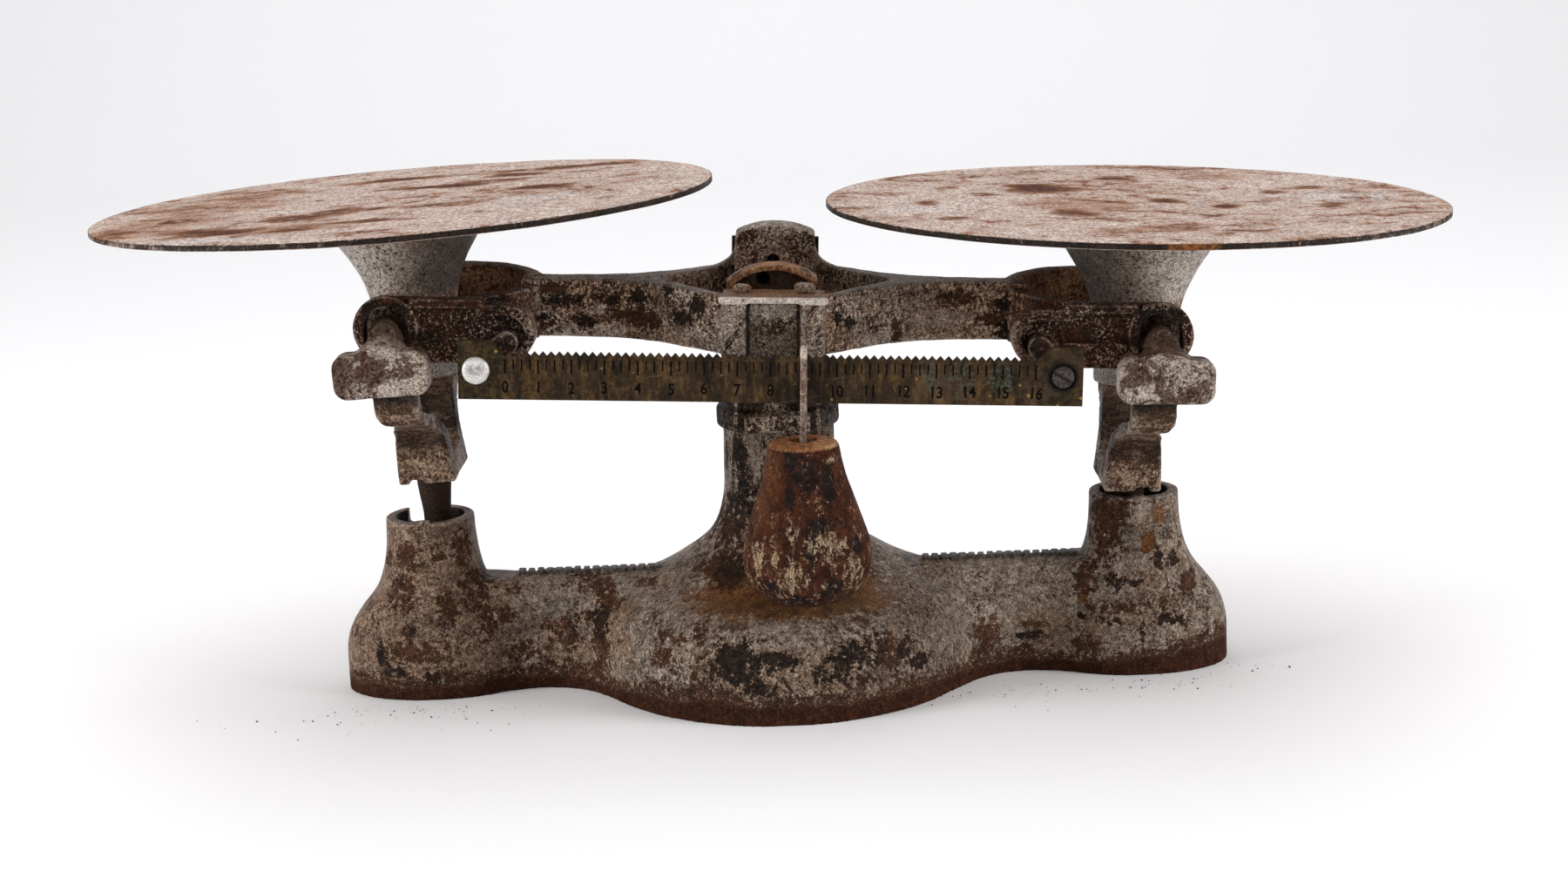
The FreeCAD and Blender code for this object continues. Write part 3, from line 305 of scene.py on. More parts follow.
def worn_iron(name, cover=0.7, warm=0.35, specks=0.6, rust=0.5, seed=0.0, dark=0.0, k=1.0, tone=1.0, film=0.35, extra=None,
              mottle=(), stain=(), bare=(), pale=(), streak=None, spread=1.45):
    """cover: share of paint left. warm: share of cream and pink in it. rust: how brown the bare iron is. k: fineness of the
    patches. tone: lightness of the paint. spread: unevenness of its shade. extra(m, f) may change the fields in f before they are mixed."""
    m = Mat(name)
    f = {}
    st = streak or (1, 1, 1)
    big = m.wide(m.noise(0.023, 3.0, 0.55, seed=seed + 1), 1.5)
    mid = m.wide(m.noise(0.105 * k, 7.0, 0.70, 0.5, seed=seed + 2, stretch=st), 1.9)
    fine = m.wide(m.noise(0.46 * k, 6.0, 0.75, 0.3, seed=seed + 3, stretch=st), 2.0)
    grain = m.wide(m.noise(1.45, 4.0, 0.76, seed=seed + 4), 2.1)
    f["big"], f["mid"], f["fine"], f["grain"] = big, mid, fine, grain
    edge = m.add(m.math("MULTIPLY_ADD", mid, 0.9, -0.45), m.math("MULTIPLY_ADD", fine, 1.4, -0.7))
    f["edge"] = edge
    v = m.add(m.mul(mid, 0.30), m.add(m.mul(big, 0.20), m.add(m.mul(fine, 0.32), m.mul(grain, 0.18))))
    v = m.add(v, (cover - 0.5) * 0.42)
    relief = m.step(v, 0.485, 0.525)
    f["rust"] = m.step(m.add(m.noise(0.064, 5.0, 0.66, 0.4, seed=seed + 7), (rust - 0.5) * 0.5), 0.42, 0.62)
    if mottle:
        d = m.step(m.add(m.spots(mottle), edge), 1.40, 0.70)
        v = m.math("SUBTRACT", v, m.mul(d, 0.150))
    if stain:
        d = m.step(m.add(m.spots(stain), edge), 1.40, 0.70)
        v = m.math("SUBTRACT", v, m.mul(d, 0.170))
        f["rust"] = m.most(f["rust"], d)
    if bare:
        d = m.step(m.add(m.spots(bare), edge), 1.40, 0.65)
        v = m.math("SUBTRACT", v, m.mul(d, 0.170))
        f["rust"] = m.mul(f["rust"], m.inv(m.mul(d, 0.85)))
    f["v"] = v
    f["warm"] = m.step(m.add(m.noise(0.034, 4.0, 0.6, seed=seed + 5), (warm - 0.5) * 0.5), 0.42, 0.60)
    f["dark"] = m.step(m.add(m.noise(0.05, 5.0, 0.65, seed=seed + 6), dark - 0.5), 0.06, 0.30)
    f["light"] = None
    if pale:
        d = m.step(m.add(m.spots(pale), edge), 1.60, 0.35)
        f["v"] = m.add(f["v"], m.mul(d, 0.12))
        f["light"] = d
    f["over"] = None
    if extra:
        extra(m, f)
    v = f["v"]
    paint = m.step(v, 0.488, 0.520)
    halo = m.both(m.step(v, 0.46, 0.50), m.step(v, 0.600, 0.515))
    # pits and flecks through the paint
    pep = m.add(m.noise(0.80, 5.0, 0.80, 0.3, seed=seed + 8), m.math("MULTIPLY_ADD", m.noise(0.06, 3.0, 0.6, seed=seed + 9), 0.36, -0.18))
    fleck = m.step(pep, 0.632 - 0.060 * specks, 0.660 - 0.060 * specks)
    d2 = m.voro(0.60, seed=seed + 2, vec=m.p)
    few2 = m.step(m.noise(0.11, 3.0, 0.6, seed=seed + 10), 0.62 - 0.20 * specks, 0.72 - 0.14 * specks)
    pin = m.both(m.step(m.add(d2, m.math("MULTIPLY_ADD", grain, 0.34, -0.17)), 0.26, 0.17), few2)
    hole = m.most(fleck, pin)
    # colours
    sh = m.wide(m.add(m.mul(fine, 0.45), m.mul(grain, 0.55)), spread)
    t = tone
    cold = m.ramp(sh, [(0.18, (0.034 * t, 0.0240 * t, 0.0168 * t)), (0.40, (0.146 * t, 0.112 * t, 0.083 * t)),
                       (0.56, (0.280 * t, 0.220 * t, 0.170 * t)), (0.84, (0.660 * t, 0.555 * t, 0.450 * t))])
    hot = m.ramp(sh, [(0.18, (0.036 * t, 0.0195 * t, 0.0115 * t)), (0.40, (0.138 * t, 0.084 * t, 0.0520 * t)),
                      (0.56, (0.255 * t, 0.164 * t, 0.108 * t)), (0.84, (0.610 * t, 0.440 * t, 0.315 * t))])
    pc = m.mix(f["warm"], cold, hot)
    if f["light"] is not None:
        pc = m.mix(m.mul(f["light"], 0.65), pc, m.mix(m.step(sh, 0.28, 0.64), (0.19, 0.135, 0.096), (0.70, 0.595, 0.500)))
    pc = m.mix(m.mul(m.step(m.noise(0.26, 6.0, 0.78, seed=seed + 11), 0.47, 0.60), film), pc, (0.062, 0.031, 0.0155))
    pc = m.mix(m.mul(f["dark"], 0.68), pc, (0.028, 0.021, 0.0165))
    pc = m.mix(m.mul(halo, 0.62), pc, (0.095, 0.044, 0.0190))
    ic = m.mix(m.step(fine, 0.36, 0.64), BLACK, IRON)
    ic = m.mix(f["rust"], ic, m.mix(m.step(m.add(m.mul(fine, 0.5), m.mul(grain, 0.5)), 0.36, 0.66), BROWN, RUST))
    ic = m.mix(m.both(m.step(grain, 0.64, 0.84), 0.50), ic, (0.180, 0.125, 0.085))
    col = m.mix(paint, ic, pc)
    col = m.mix(m.mul(hole, 0.93), col, m.mix(f["rust"], BLACK, tuple(c * 0.55 for c in BROWN)))
    rough = m.mixf(paint, 0.76, m.step(fine, 0.3, 0.7, 0.34, 0.52))
    f["col"], f["rough"] = col, rough
    f["paint"], f["hole"] = paint, hole
    # pale worn edges with a painted highlight, and dirt with painted shade in the concave corners
    pt = m.pointy()
    worn_edge_highlight = m.both(m.step(m.add(pt, m.math("MULTIPLY_ADD", fine, 0.03, -0.015)), 0.510, 0.550), m.step(mid, 0.30, 0.56))
    f["col"] = m.mix(m.mul(worn_edge_highlight, 0.66), f["col"], m.mix(m.step(grain, 0.34, 0.66), (0.20, 0.160, 0.128), (0.52, 0.455, 0.395)))
    corner_dirt_and_shade = m.step(pt, 0.492, 0.455)
    f["col"] = m.mix(m.mul(corner_dirt_and_shade, 0.85), f["col"], (0.0105, 0.0068, 0.0046))
    if f["over"]:
        f["over"](m, f)
    h = m.add(m.mul(relief, 0.40), m.mul(fine, 0.42))
    h = m.add(h, m.mul(hole, -0.70))
    h = m.add(h, m.mul(grain, 0.32))
    h = m.add(h, m.mul(mid, 0.50))
    return m.finish(f["col"], f["rough"], m.bump(h, 0.80, 0.00060), spec=0.10)


def base_fields(m, f):
    e = f["edge"]
    # front of the bulge: scratches through the paint, cream where it holds
    rub = m.spot((8, -68, 21), (46, 24, 13), 1.3, 0.5)
    rub = m.mul(rub, m.step(m.y, -40, -52))
    slant = m.noise(0.34, 4.0, 0.6, 0.2, seed=34, vec=m.map(m.p, rot=(0, math.radians(35), 0)), stretch=(1.0, 1.0, 0.16))
    slant2 = m.noise(0.40, 4.0, 0.6, 0.2, seed=35, vec=m.map(m.p, rot=(0, math.radians(-20), 0)), stretch=(1.0, 1.0, 0.14))
    cut = m.most(m.step(slant, 0.585, 0.615), m.step(slant2, 0.60, 0.63))
    f["v"] = m.math("SUBTRACT", f["v"], m.mul(rub, m.math("MULTIPLY_ADD", cut, 0.22, 0.015)))
    f["rust"] = m.mul(f["rust"], m.inv(m.mul(rub, 0.55)))
    f["warm"] = m.most(m.mul(f["warm"], m.step(m.x, 135, 95, 0.75, 1.0)), m.mul(rub, 0.70))
    # the left foot is browner, the arms and the brow colder
    left = m.step(m.x, -88, -112)
    f["warm"] = m.most(f["warm"], m.mul(left, 0.90))
    f["v"] = m.math("SUBTRACT", f["v"], m.mul(left, 0.012))
    cold = m.spot((0, -62, 34), (62, 18, 7), 1.2, 0.4)
    f["warm"] = m.mul(f["warm"], m.inv(m.mul(cold, 0.9)))
    f["v"] = m.add(f["v"], m.mul(cold, 0.05))
    arm_r = m.both(m.step(m.x, 56, 70), m.step(m.x, 112, 98), m.step(m.z, 20, 27))
    f["warm"] = m.mul(f["warm"], m.inv(m.mul(arm_r, 0.85)))
    f["v"] = m.add(f["v"], m.mul(arm_r, 0.06))
    flank = m.spot((54, -42, 24), (21, 26, 17), 1.2, 0.4)
    f["dark"] = m.most(f["dark"], m.mul(flank, 0.42))
    # rust rises from the lower rim, higher in places
    lift = m.math("MULTIPLY_ADD", m.noise(0.040, 3.0, 0.6, seed=38), 8.0, 1.0)
    lift = m.add(lift, m.math("MULTIPLY_ADD", f["fine"], 4.0, -2.0))
    lift = m.add(lift, m.step(m.x, 126, 160, 0.0, 4.0))
    lift = m.add(lift, m.step(m.y, -40, -58, 0.0, 2.2))
    f["lift"] = lift
    near = m.step(m.math("SUBTRACT", m.z, lift), 9.0, 0.0)
    f["v"] = m.math("SUBTRACT", f["v"], m.mul(near, 0.20))
    f["rust"] = m.most(f["rust"], m.mul(near, 0.85))
    # column: streaked downwards
    col = m.both(m.step(m.z, 46, 56), m.step(m.math("ABSOLUTE", m.x), 60, 46))
    run = m.noise(0.26, 5.0, 0.72, 0.3, seed=36, stretch=(1.0, 1.0, 0.13))
    f["v"] = m.math("SUBTRACT", f["v"], m.mul(col, m.math("MULTIPLY_ADD", m.step(run, 0.48, 0.55), 0.16, 0.015)))
    f["rust"] = m.mul(f["rust"], m.inv(m.mul(col, 0.6)))

    def over(m, f):
        fine, grain = f["fine"], f["grain"]
        # ochre stain on the deck below the weight
        s = m.step(m.add(m.spots([(7, -46, 42, 56, 7.5)], deep=21.0), m.mul(e, 0.55)), 1.25, 0.75)
        s = m.mul(s, m.step(m.z, 50.0, 45.5))
        oc = m.ramp(m.add(m.mul(m.noise(0.20, 6.0, 0.78, 0.6, seed=37), 0.6), m.mul(grain, 0.4)),
                    [(0.32, (0.020, 0.0072, 0.0028)), (0.44, (0.074, 0.0260, 0.0068)), (0.56, (0.165, 0.066, 0.0175)),
                     (0.72, (0.360, 0.210, 0.090))])
        f["col"] = m.mix(m.mul(s, m.step(fine, 0.14, 0.40, 0.78, 0.97)), f["col"], oc)
        # runs of rust over the brow
        s2 = m.both(m.step(m.add(m.spots([(4, -58, 36, 46, 6)], deep=14.0), e), 1.2, 0.6),
                    m.step(m.noise(0.11, 6.0, 0.72, 0.9, seed=41, stretch=(0.5, 1, 1)), 0.50, 0.56))
        f["col"] = m.mix(m.mul(s2, 0.80), f["col"], m.mix(m.step(fine, 0.38, 0.66), (0.032, 0.0145, 0.0070), (0.120, 0.056, 0.0200)))
        o = m.step(m.add(m.spots(BASE_ORANGE), e), 1.3, 0.6)
        f["col"] = m.mix(m.mul(o, 0.80), f["col"], m.mix(m.step(grain, 0.40, 0.64), (0.070, 0.0260, 0.0080), (0.210, 0.090, 0.0260)))
        # hollow between column and deck, with a painted shadow at the left
        hollow_painted_shadow = m.step(m.add(m.spots([(-19, -31, 47, 9, 6.5), (-4, -30, 49, 14, 5)], deep=13.0), m.mul(e, 0.6)), 1.2, 0.5)
        f["col"] = m.mix(m.mul(hollow_painted_shadow, 0.86), f["col"], m.mix(m.step(fine, 0.35, 0.7), (0.0080, 0.0052, 0.0038), (0.042, 0.019, 0.0090)))
        # pale chips of paint just above the rusty rim
        chip = m.both(m.step(m.math("SUBTRACT", m.z, f["lift"]), 8.0, 1.5), m.step(m.add(m.mul(fine, 0.5), m.mul(grain, 0.5)), 0.62, 0.67))
        f["col"] = m.mix(m.mul(chip, 0.70), f["col"], m.mix(m.step(grain, 0.40, 0.70), (0.150, 0.105, 0.080), (0.46, 0.385, 0.325)))
        # rust along the lower rim
        band = m.step(m.math("SUBTRACT", m.z, f["lift"]), 0.9, -0.9)
        rc = m.ramp(m.add(m.mul(m.noise(0.24, 6.0, 0.76, 0.3, seed=39), 0.55), m.mul(grain, 0.45)),
                    [(0.28, (0.0060, 0.0028, 0.0018)), (0.44, (0.0240, 0.0076, 0.0036)), (0.58, (0.058, 0.0185, 0.0080)),
                     (0.78, (0.170, 0.068, 0.0280))])
        f["col"] = m.mix(m.mul(band, 0.96), f["col"], rc)
        f["rough"] = m.mixf(band, f["rough"], 0.86)
        # inside the cups: dark oily rust
        cup = None
        for sx in (-1, 1):
            dx = m.math("SUBTRACT", m.x, sx * 133.0)
            q = m.both(m.step(m.add(m.mul(dx, dx), m.mul(m.y, m.y)), 178.0, 160.0), m.step(m.z, 20.0, 30.0))
            cup = q if cup is None else m.add(cup, q)
        f["col"] = m.mix(m.mul(cup, 0.93), f["col"], m.mix(m.step(fine, 0.35, 0.70), (0.0065, 0.0050, 0.0042), (0.024, 0.0125, 0.0085)))
        # beads along the ridge
        ax, ay = m.math("ABSOLUTE", m.x), m.math("ABSOLUTE", m.y)
        top = m.both(m.step(m.z, 41.6, 42.3), m.step(ax, 44, 46), m.step(ax, 116, 114), m.step(ay, 4.6, 3.4))
        f["col"] = m.mix(m.mul(top, 0.80), f["col"], m.mix(m.step(grain, 0.42, 0.70), (0.0130, 0.0095, 0.0075), (0.125, 0.105, 0.088)))

    f["over"] = over


def beam_fields(m, f):
    ax = m.math("ABSOLUTE", m.x)
    # tilted height above the beam's middle line
    zb = m.add(m.math("SUBTRACT", m.z, 136.0), m.mul(m.x, math.tan(math.radians(2.65))))
    ends = m.step(ax, 82, 96)
    front = m.step(m.y, -30, -37)
    f["v"] = m.math("SUBTRACT", f["v"], m.mul(ends, 0.150))
    f["dark"] = m.most(f["dark"], m.mul(ends, 0.70))
    f["rust"] = m.mul(f["rust"], m.inv(m.mul(m.mul(ends, front), 0.25)))
    # front block: mostly paint, with scratches
    blk = m.both(m.step(ax, 20, 18), m.step(m.y, -37, -40))
    f["v"] = m.add(f["v"], m.mul(blk, 0.080))
    f["warm"] = m.mul(f["warm"], m.inv(m.mul(blk, 0.75)))
    slant = m.noise(0.34, 4.0, 0.6, 0.2, seed=54, vec=m.map(m.p, rot=(0, math.radians(-38), 0)), stretch=(1.0, 1.0, 0.14))
    f["v"] = m.math("SUBTRACT", f["v"], m.both(blk, m.step(slant, 0.58, 0.61), 0.25))
    low = m.both(m.step(zb, -1.0, -4.5), m.step(ax, 96, 86))
    f["v"] = m.add(f["v"], m.mul(low, 0.035))
    strip = m.both(ends, front, m.step(zb, -0.4, -1.2))
    f["v"] = m.add(f["v"], m.mul(strip, 0.08))
    f["dark"] = m.mul(f["dark"], m.inv(m.mul(strip, 0.7)))

    def over(m, f):
        fine, grain = f["fine"], f["grain"]
        f["col"] = m.mix(m.mul(ends, 0.85), f["col"], (0.70, 0.54, 0.46), "MULTIPLY")
        # remains of white paint on the dark tines
        fl = m.both(ends, front, m.step(m.add(m.mul(fine, 0.55), m.mul(grain, 0.45)), 0.585, 0.640),
                    m.step(m.noise(0.07, 4.0, 0.65, seed=57), 0.40, 0.56))
        f["col"] = m.mix(m.mul(fl, 0.90), f["col"], m.mix(m.step(grain, 0.40, 0.66), (0.080, 0.052, 0.035), (0.56, 0.46, 0.37)))
        # inner curve of the forks: rust, with painted light on its shaded wall
        r = m.both(m.step(ax, 124, 118), m.step(ax, 86, 92), m.step(m.y, -4.0, 4.0), m.step(m.add(m.mul(f["mid"], 0.6), m.mul(fine, 0.4)), 0.36, 0.50))
        f["col"] = m.mix(m.mul(r, 0.85), f["col"], m.mix(m.step(m.add(m.mul(fine, 0.5), m.mul(grain, 0.5)), 0.32, 0.66), (0.040, 0.0150, 0.0070), (0.300, 0.160, 0.080)))
        # front block: painted shadow in the creases beside the two ribs, painted highlight on the rib edges, painted
        # shade on the panel towards its foot and a painted highlight on its rounded top
        xb = m.math("ABSOLUTE", m.math("SUBTRACT", m.x, m.mul(m.math("SUBTRACT", m.z, 136.0), math.sin(math.radians(2.65)))))
        fr = m.both(m.step(m.y, -38.5, -40.0), m.step(zb, 13.4, 12.6))
        panel_painted_shade = m.both(fr, m.step(xb, 9.4, 8.8), m.step(m.add(zb, m.math("MULTIPLY_ADD", fine, 6.0, -3.0)), 9.0, 2.0, 0.25, 1.0))
        f["col"] = m.mix(m.mul(panel_painted_shade, 0.55), f["col"], m.mix(m.step(grain, 0.36, 0.68), (0.0220, 0.0130, 0.0080), (0.150, 0.098, 0.062)))
        # painted highlight on the rounded top of the panel
        panel_painted_highlight = m.both(fr, m.step(xb, 8.6, 7.6), m.step(zb, 6.0, 9.5), m.step(m.add(m.mul(f["mid"], 0.6), m.mul(fine, 0.4)), 0.36, 0.54))
        f["col"] = m.mix(m.mul(panel_painted_highlight, 0.55), f["col"], m.mix(m.step(grain, 0.36, 0.66), (0.20, 0.160, 0.125), (0.56, 0.480, 0.405)))
        # painted shadow in the creases beside the ribs
        crease_painted_shadow = m.both(fr, m.step(xb, 7.8, 8.9), m.step(xb, 10.2, 9.5))
        f["col"] = m.mix(m.mul(crease_painted_shadow, 0.88), f["col"], (0.0105, 0.0070, 0.0050))
        rib_edge_painted_highlight = m.both(fr, m.most(m.both(m.step(xb, 9.7, 10.2), m.step(xb, 11.6, 10.8)), m.both(m.step(xb, 16.6, 17.6), m.step(xb, 19.4, 18.6))), m.step(fine, 0.30, 0.52))
        f["col"] = m.mix(m.mul(rib_edge_painted_highlight, 0.60), f["col"], m.mix(m.step(grain, 0.34, 0.64), (0.17, 0.130, 0.098), (0.55, 0.465, 0.39)))
        # bright worn lip with a painted highlight along its top front edge, rusty top behind the lip
        lip_wear_and_highlight = m.both(m.step(xb, 21.5, 20.5), m.step(m.y, -41.5, -43.5), m.step(zb, 12.6, 13.2), m.step(m.add(m.mul(f["mid"], 0.5), m.mul(fine, 0.5)), 0.24, 0.40))
        f["col"] = m.mix(m.mul(lip_wear_and_highlight, 0.96), f["col"], m.mix(m.step(grain, 0.26, 0.56), (0.420, 0.320, 0.240), (0.90, 0.800, 0.700)))
        back = m.both(m.step(xb, 21.5, 20.5), m.step(m.y, -22.0, -25.0), m.step(m.y, -44.6, -42.6), m.step(zb, 14.0, 14.8))
        f["col"] = m.mix(m.mul(back, 0.92), f["col"], m.mix(m.step(m.add(m.mul(fine, 0.5), m.mul(grain, 0.5)), 0.34, 0.66), (0.070, 0.0280, 0.0130), (0.340, 0.180, 0.095)))
        # painted highlight on the fillets at the foot of the rear boss
        fillet_painted_highlight = m.both(m.step(xb, 14.6, 16.0), m.step(xb, 25.0, 20.0), m.step(m.y, 22.0, 27.0), m.step(zb, 14.4, 15.6), m.step(fine, 0.26, 0.46))
        f["col"] = m.mix(m.mul(fillet_painted_highlight, 0.72), f["col"], m.mix(m.step(grain, 0.34, 0.62), (0.240, 0.175, 0.125), (0.66, 0.560, 0.47)))
        # pale worn paint with a painted highlight along the rounded top edges of the ring and of the rear boss
        top = m.both(m.step(m.y, 26, 30), m.step(m.pointy(), 0.50, 0.53), m.step(ax, 30, 20), m.step(m.z, 150, 153))
        f["col"] = m.mix(m.mul(top, 0.60), f["col"], m.mix(m.step(grain, 0.36, 0.62), (0.180, 0.130, 0.090), (0.44, 0.37, 0.30)))
        rimtop = m.both(m.step(zb, 14.6, 15.3), m.step(ax, 88, 80), m.step(ax, 18, 26))
        f["col"] = m.mix(m.mul(rimtop, 0.62), f["col"], m.mix(m.step(grain, 0.34, 0.64), (0.070, 0.050, 0.038), (0.27, 0.225, 0.188)))
        rim2 = m.both(m.step(zb, 14.0, 15.0), m.step(ax, 84, 90), m.step(m.y, 2.0, 8.0))
        f["col"] = m.mix(m.mul(rim2, 0.60), f["col"], m.mix(m.step(grain, 0.34, 0.64), (0.080, 0.058, 0.044), (0.32, 0.265, 0.22)))
        # hood and horn pockets: painted shade, black
        pocket_painted_shade = m.both(m.step(m.math("ABSOLUTE", m.math("SUBTRACT", ax, 138.4)), 8.6, 7.4), m.step(zb, -5.0, -3.5), m.step(zb, 12.4, 11.2))
        f["col"] = m.mix(m.mul(pocket_painted_shade, 0.85), f["col"], (0.0062, 0.0048, 0.0040))

    f["over"] = over


def head_fields(m, f):
    run = m.noise(0.24, 5.0, 0.7, 0.3, seed=61, stretch=(1.0, 1.0, 0.30))
    f["v"] = m.math("SUBTRACT", f["v"], m.mul(m.step(run, 0.48, 0.58), 0.06))

    def over(m, f):
        fine, grain = f["fine"], f["grain"]
        # arched rim bare and orange with rust, painted shade on its sunk face
        rim = m.step(m.z, 147.0, 149.0)
        rc = m.ramp(m.add(m.mul(m.noise(0.26, 5.0, 0.7, seed=62), 0.65), m.mul(grain, 0.35)),
                    [(0.32, (0.034, 0.0120, 0.0052)), (0.43, (0.180, 0.068, 0.0250)), (0.54, (0.400, 0.190, 0.085)),
                     (0.70, (0.68, 0.480, 0.320))])
        f["col"] = m.mix(m.mul(rim, 0.93), f["col"], rc)
        ax = m.math("ABSOLUTE", m.x)
        sunk_painted_shade = m.both(m.step(m.y, -20.3, -19.7), m.step(m.y, -10.0, -15.0), m.step(ax, 14.9, 14.2), m.step(m.z, 157.7, 156.8))
        f["col"] = m.mix(m.mul(sunk_painted_shade, 0.92), f["col"], m.mix(m.step(fine, 0.36, 0.70), (0.0080, 0.0056, 0.0044), (0.038, 0.0190, 0.0105)))
        # painted shade over the cross hole in the sunk face
        hole_painted_shade = m.both(m.step(m.spots([(-3.0, -20.0, 154.6, 2.5, 2.5)], deep=40.0), 1.15, 0.95), m.step(m.y, -20.4, -19.6))
        f["col"] = m.mix(m.mul(hole_painted_shade, 0.95), f["col"], (0.0050, 0.0036, 0.0028))
        side = m.both(m.step(ax, 15.6, 16.2), m.step(m.z, 152.5, 150.5))
        f["col"] = m.mix(m.mul(side, 0.80), f["col"], (0.014, 0.0095, 0.0075))

    f["over"] = over


def carrier_fields(px, pz, seed):
    def fields(m, f):
        zz = m.math("SUBTRACT", m.z, pz)
        ay = m.math("ABSOLUTE", m.y)
        fun = m.step(zz, 8.0, 12.0)
        f["v"] = m.add(f["v"], m.mul(fun, 0.105))
        f["warm"] = m.mul(f["warm"], m.inv(m.mul(fun, 0.90)))
        f["dark"] = m.mul(f["dark"], m.inv(m.mul(fun, 0.85)))
        bar = m.both(m.step(ay, 50.0, 53.0), m.step(zz, -20.0, -18.0))
        f["v"] = m.add(f["v"], m.mul(bar, 0.040))
        f["rust"] = m.most(f["rust"], m.mul(bar, 0.70))
        leg = m.step(zz, -18.5, -22.0)
        run = m.noise(0.20, 6.0, 0.72, 0.4, seed=seed + 11, stretch=(0.40, 1.0, 1.25))
        f["v"] = m.math("SUBTRACT", f["v"], m.mul(leg, m.math("MULTIPLY_ADD", m.step(run, 0.46, 0.58), 0.10, -0.03)))
        f["warm"] = m.most(f["warm"], m.mul(leg, 0.90))
        f["rust"] = m.mul(m.most(f["rust"], m.mul(leg, 0.80)), m.inv(m.mul(fun, 0.7)))
        f["light"] = m.most(m.mul(bar, m.step(f["mid"], 0.40, 0.62, 0.0, 0.8)), m.mul(fun, 0.85))

        def over(m, f):
            fine, grain = f["fine"], f["grain"]
            clean = m.both(bar, m.step(m.add(m.mul(f["mid"], 0.5), m.mul(fine, 0.5)), 0.36, 0.52))
            f["col"] = m.mix(m.mul(clean, 0.60), f["col"], m.mix(m.step(grain, 0.30, 0.66), (0.210, 0.165, 0.132), (0.640, 0.560, 0.490)))
            # bars: brown-red patches a few millimetres wide
            pv = m.add(m.mul(m.wide(m.noise(0.080, 6.0, 0.70, 0.8, seed=seed + 13), 1.9), 0.80), m.mul(fine, 0.20))
            pb = m.both(bar, m.step(pv, 0.470, 0.520))
            f["col"] = m.mix(m.mul(pb, 0.86), f["col"], m.mix(m.step(m.add(m.mul(fine, 0.4), m.mul(grain, 0.6)), 0.34, 0.68), (0.018, 0.0078, 0.0042), (0.118, 0.050, 0.0230)))
            # painted shadow under the bar
            bar_painted_shadow = m.both(m.step(ay, 48.0, 51.0), m.step(zz, -18.2, -19.2), m.step(zz, -25.5, -20.5))
            f["col"] = m.mix(m.mul(bar_painted_shadow, 0.88), f["col"], (0.0090, 0.0062, 0.0046))
            # arm between hood and bar: dirty brown on top
            arm = m.both(m.step(ay, 28, 38), m.step(ay, 60, 50), m.step(zz, -6.0, -2.0), m.step(zz, 9.0, 7.0))
            arm = m.mul(arm, m.step(m.add(m.mul(f["mid"], 0.6), m.mul(fine, 0.4)), 0.38, 0.54))
            f["col"] = m.mix(m.mul(arm, 0.85), f["col"], m.mix(m.step(grain, 0.36, 0.66), (0.0150, 0.0085, 0.0055), (0.085, 0.044, 0.0220)))
            # legs: tan film with darker bands
            tan = m.both(leg, m.step(run, 0.43, 0.56))
            f["col"] = m.mix(m.mul(tan, 0.45), f["col"], m.mix(m.step(grain, 0.36, 0.64), (0.040, 0.0220, 0.0130), (0.150, 0.095, 0.058)))
            # funnel: painted shade on the side that faces the middle of the scale, painted highlight in specks on the
            # outer side
            sg = 1.0 if px < 0 else -1.0
            side = m.step(m.mul(m.math("SUBTRACT", m.x, px * 0.962), sg), -9.0, 15.0)
            side = m.both(fun, side, m.step(m.add(m.mul(f["mid"], 0.5), m.mul(fine, 0.5)), 0.22, 0.54, 0.50, 1.0))
            f["col"] = m.mix(m.mul(side, 0.86), f["col"], m.mix(m.step(grain, 0.36, 0.68), (0.0150, 0.0120, 0.0095), (0.080, 0.069, 0.059)))
            # painted highlight on the outer side of the funnel
            funnel_painted_highlight = m.both(fun, m.step(m.mul(m.math("SUBTRACT", m.x, px * 0.962), sg), 4.0, -14.0), m.step(m.add(m.mul(f["mid"], 0.4), m.mul(fine, 0.6)), 0.30, 0.50))
            f["col"] = m.mix(m.mul(funnel_painted_highlight, 0.55), f["col"], m.mix(m.step(grain, 0.32, 0.66), (0.260, 0.225, 0.196), (0.780, 0.715, 0.655)))
            dots = m.both(fun, m.step(m.add(m.voro(0.34, seed=seed + 5), m.math("MULTIPLY_ADD", grain, 0.30, -0.15)), 0.27, 0.15),
                          m.step(m.noise(0.07, 3.0, 0.6, seed=seed + 14), 0.44, 0.54))
            f["col"] = m.mix(m.mul(dots, 0.88), f["col"], (0.020, 0.0140, 0.0100))
            # painted shade on the inner faces of the yoke
            yoke_painted_shade = m.both(m.step(ay, 34, 20), m.step(zz, -21.0, -22.5), m.step(zz, -50, -44))
            f["col"] = m.mix(m.mul(yoke_painted_shade, 0.70), f["col"], (0.0150, 0.0095, 0.0070))
            # lower end of the neck: paint left pale
            band = m.both(m.step(ay, 34, 28), m.step(zz, -22.0, -20.5), m.step(zz, -9.0, -12.0))
            f["col"] = m.mix(m.mul(band, 0.80), f["col"], m.mix(m.step(grain, 0.30, 0.62), (0.150, 0.128, 0.112), (0.620, 0.560, 0.510)))

        f["over"] = over

    return fields


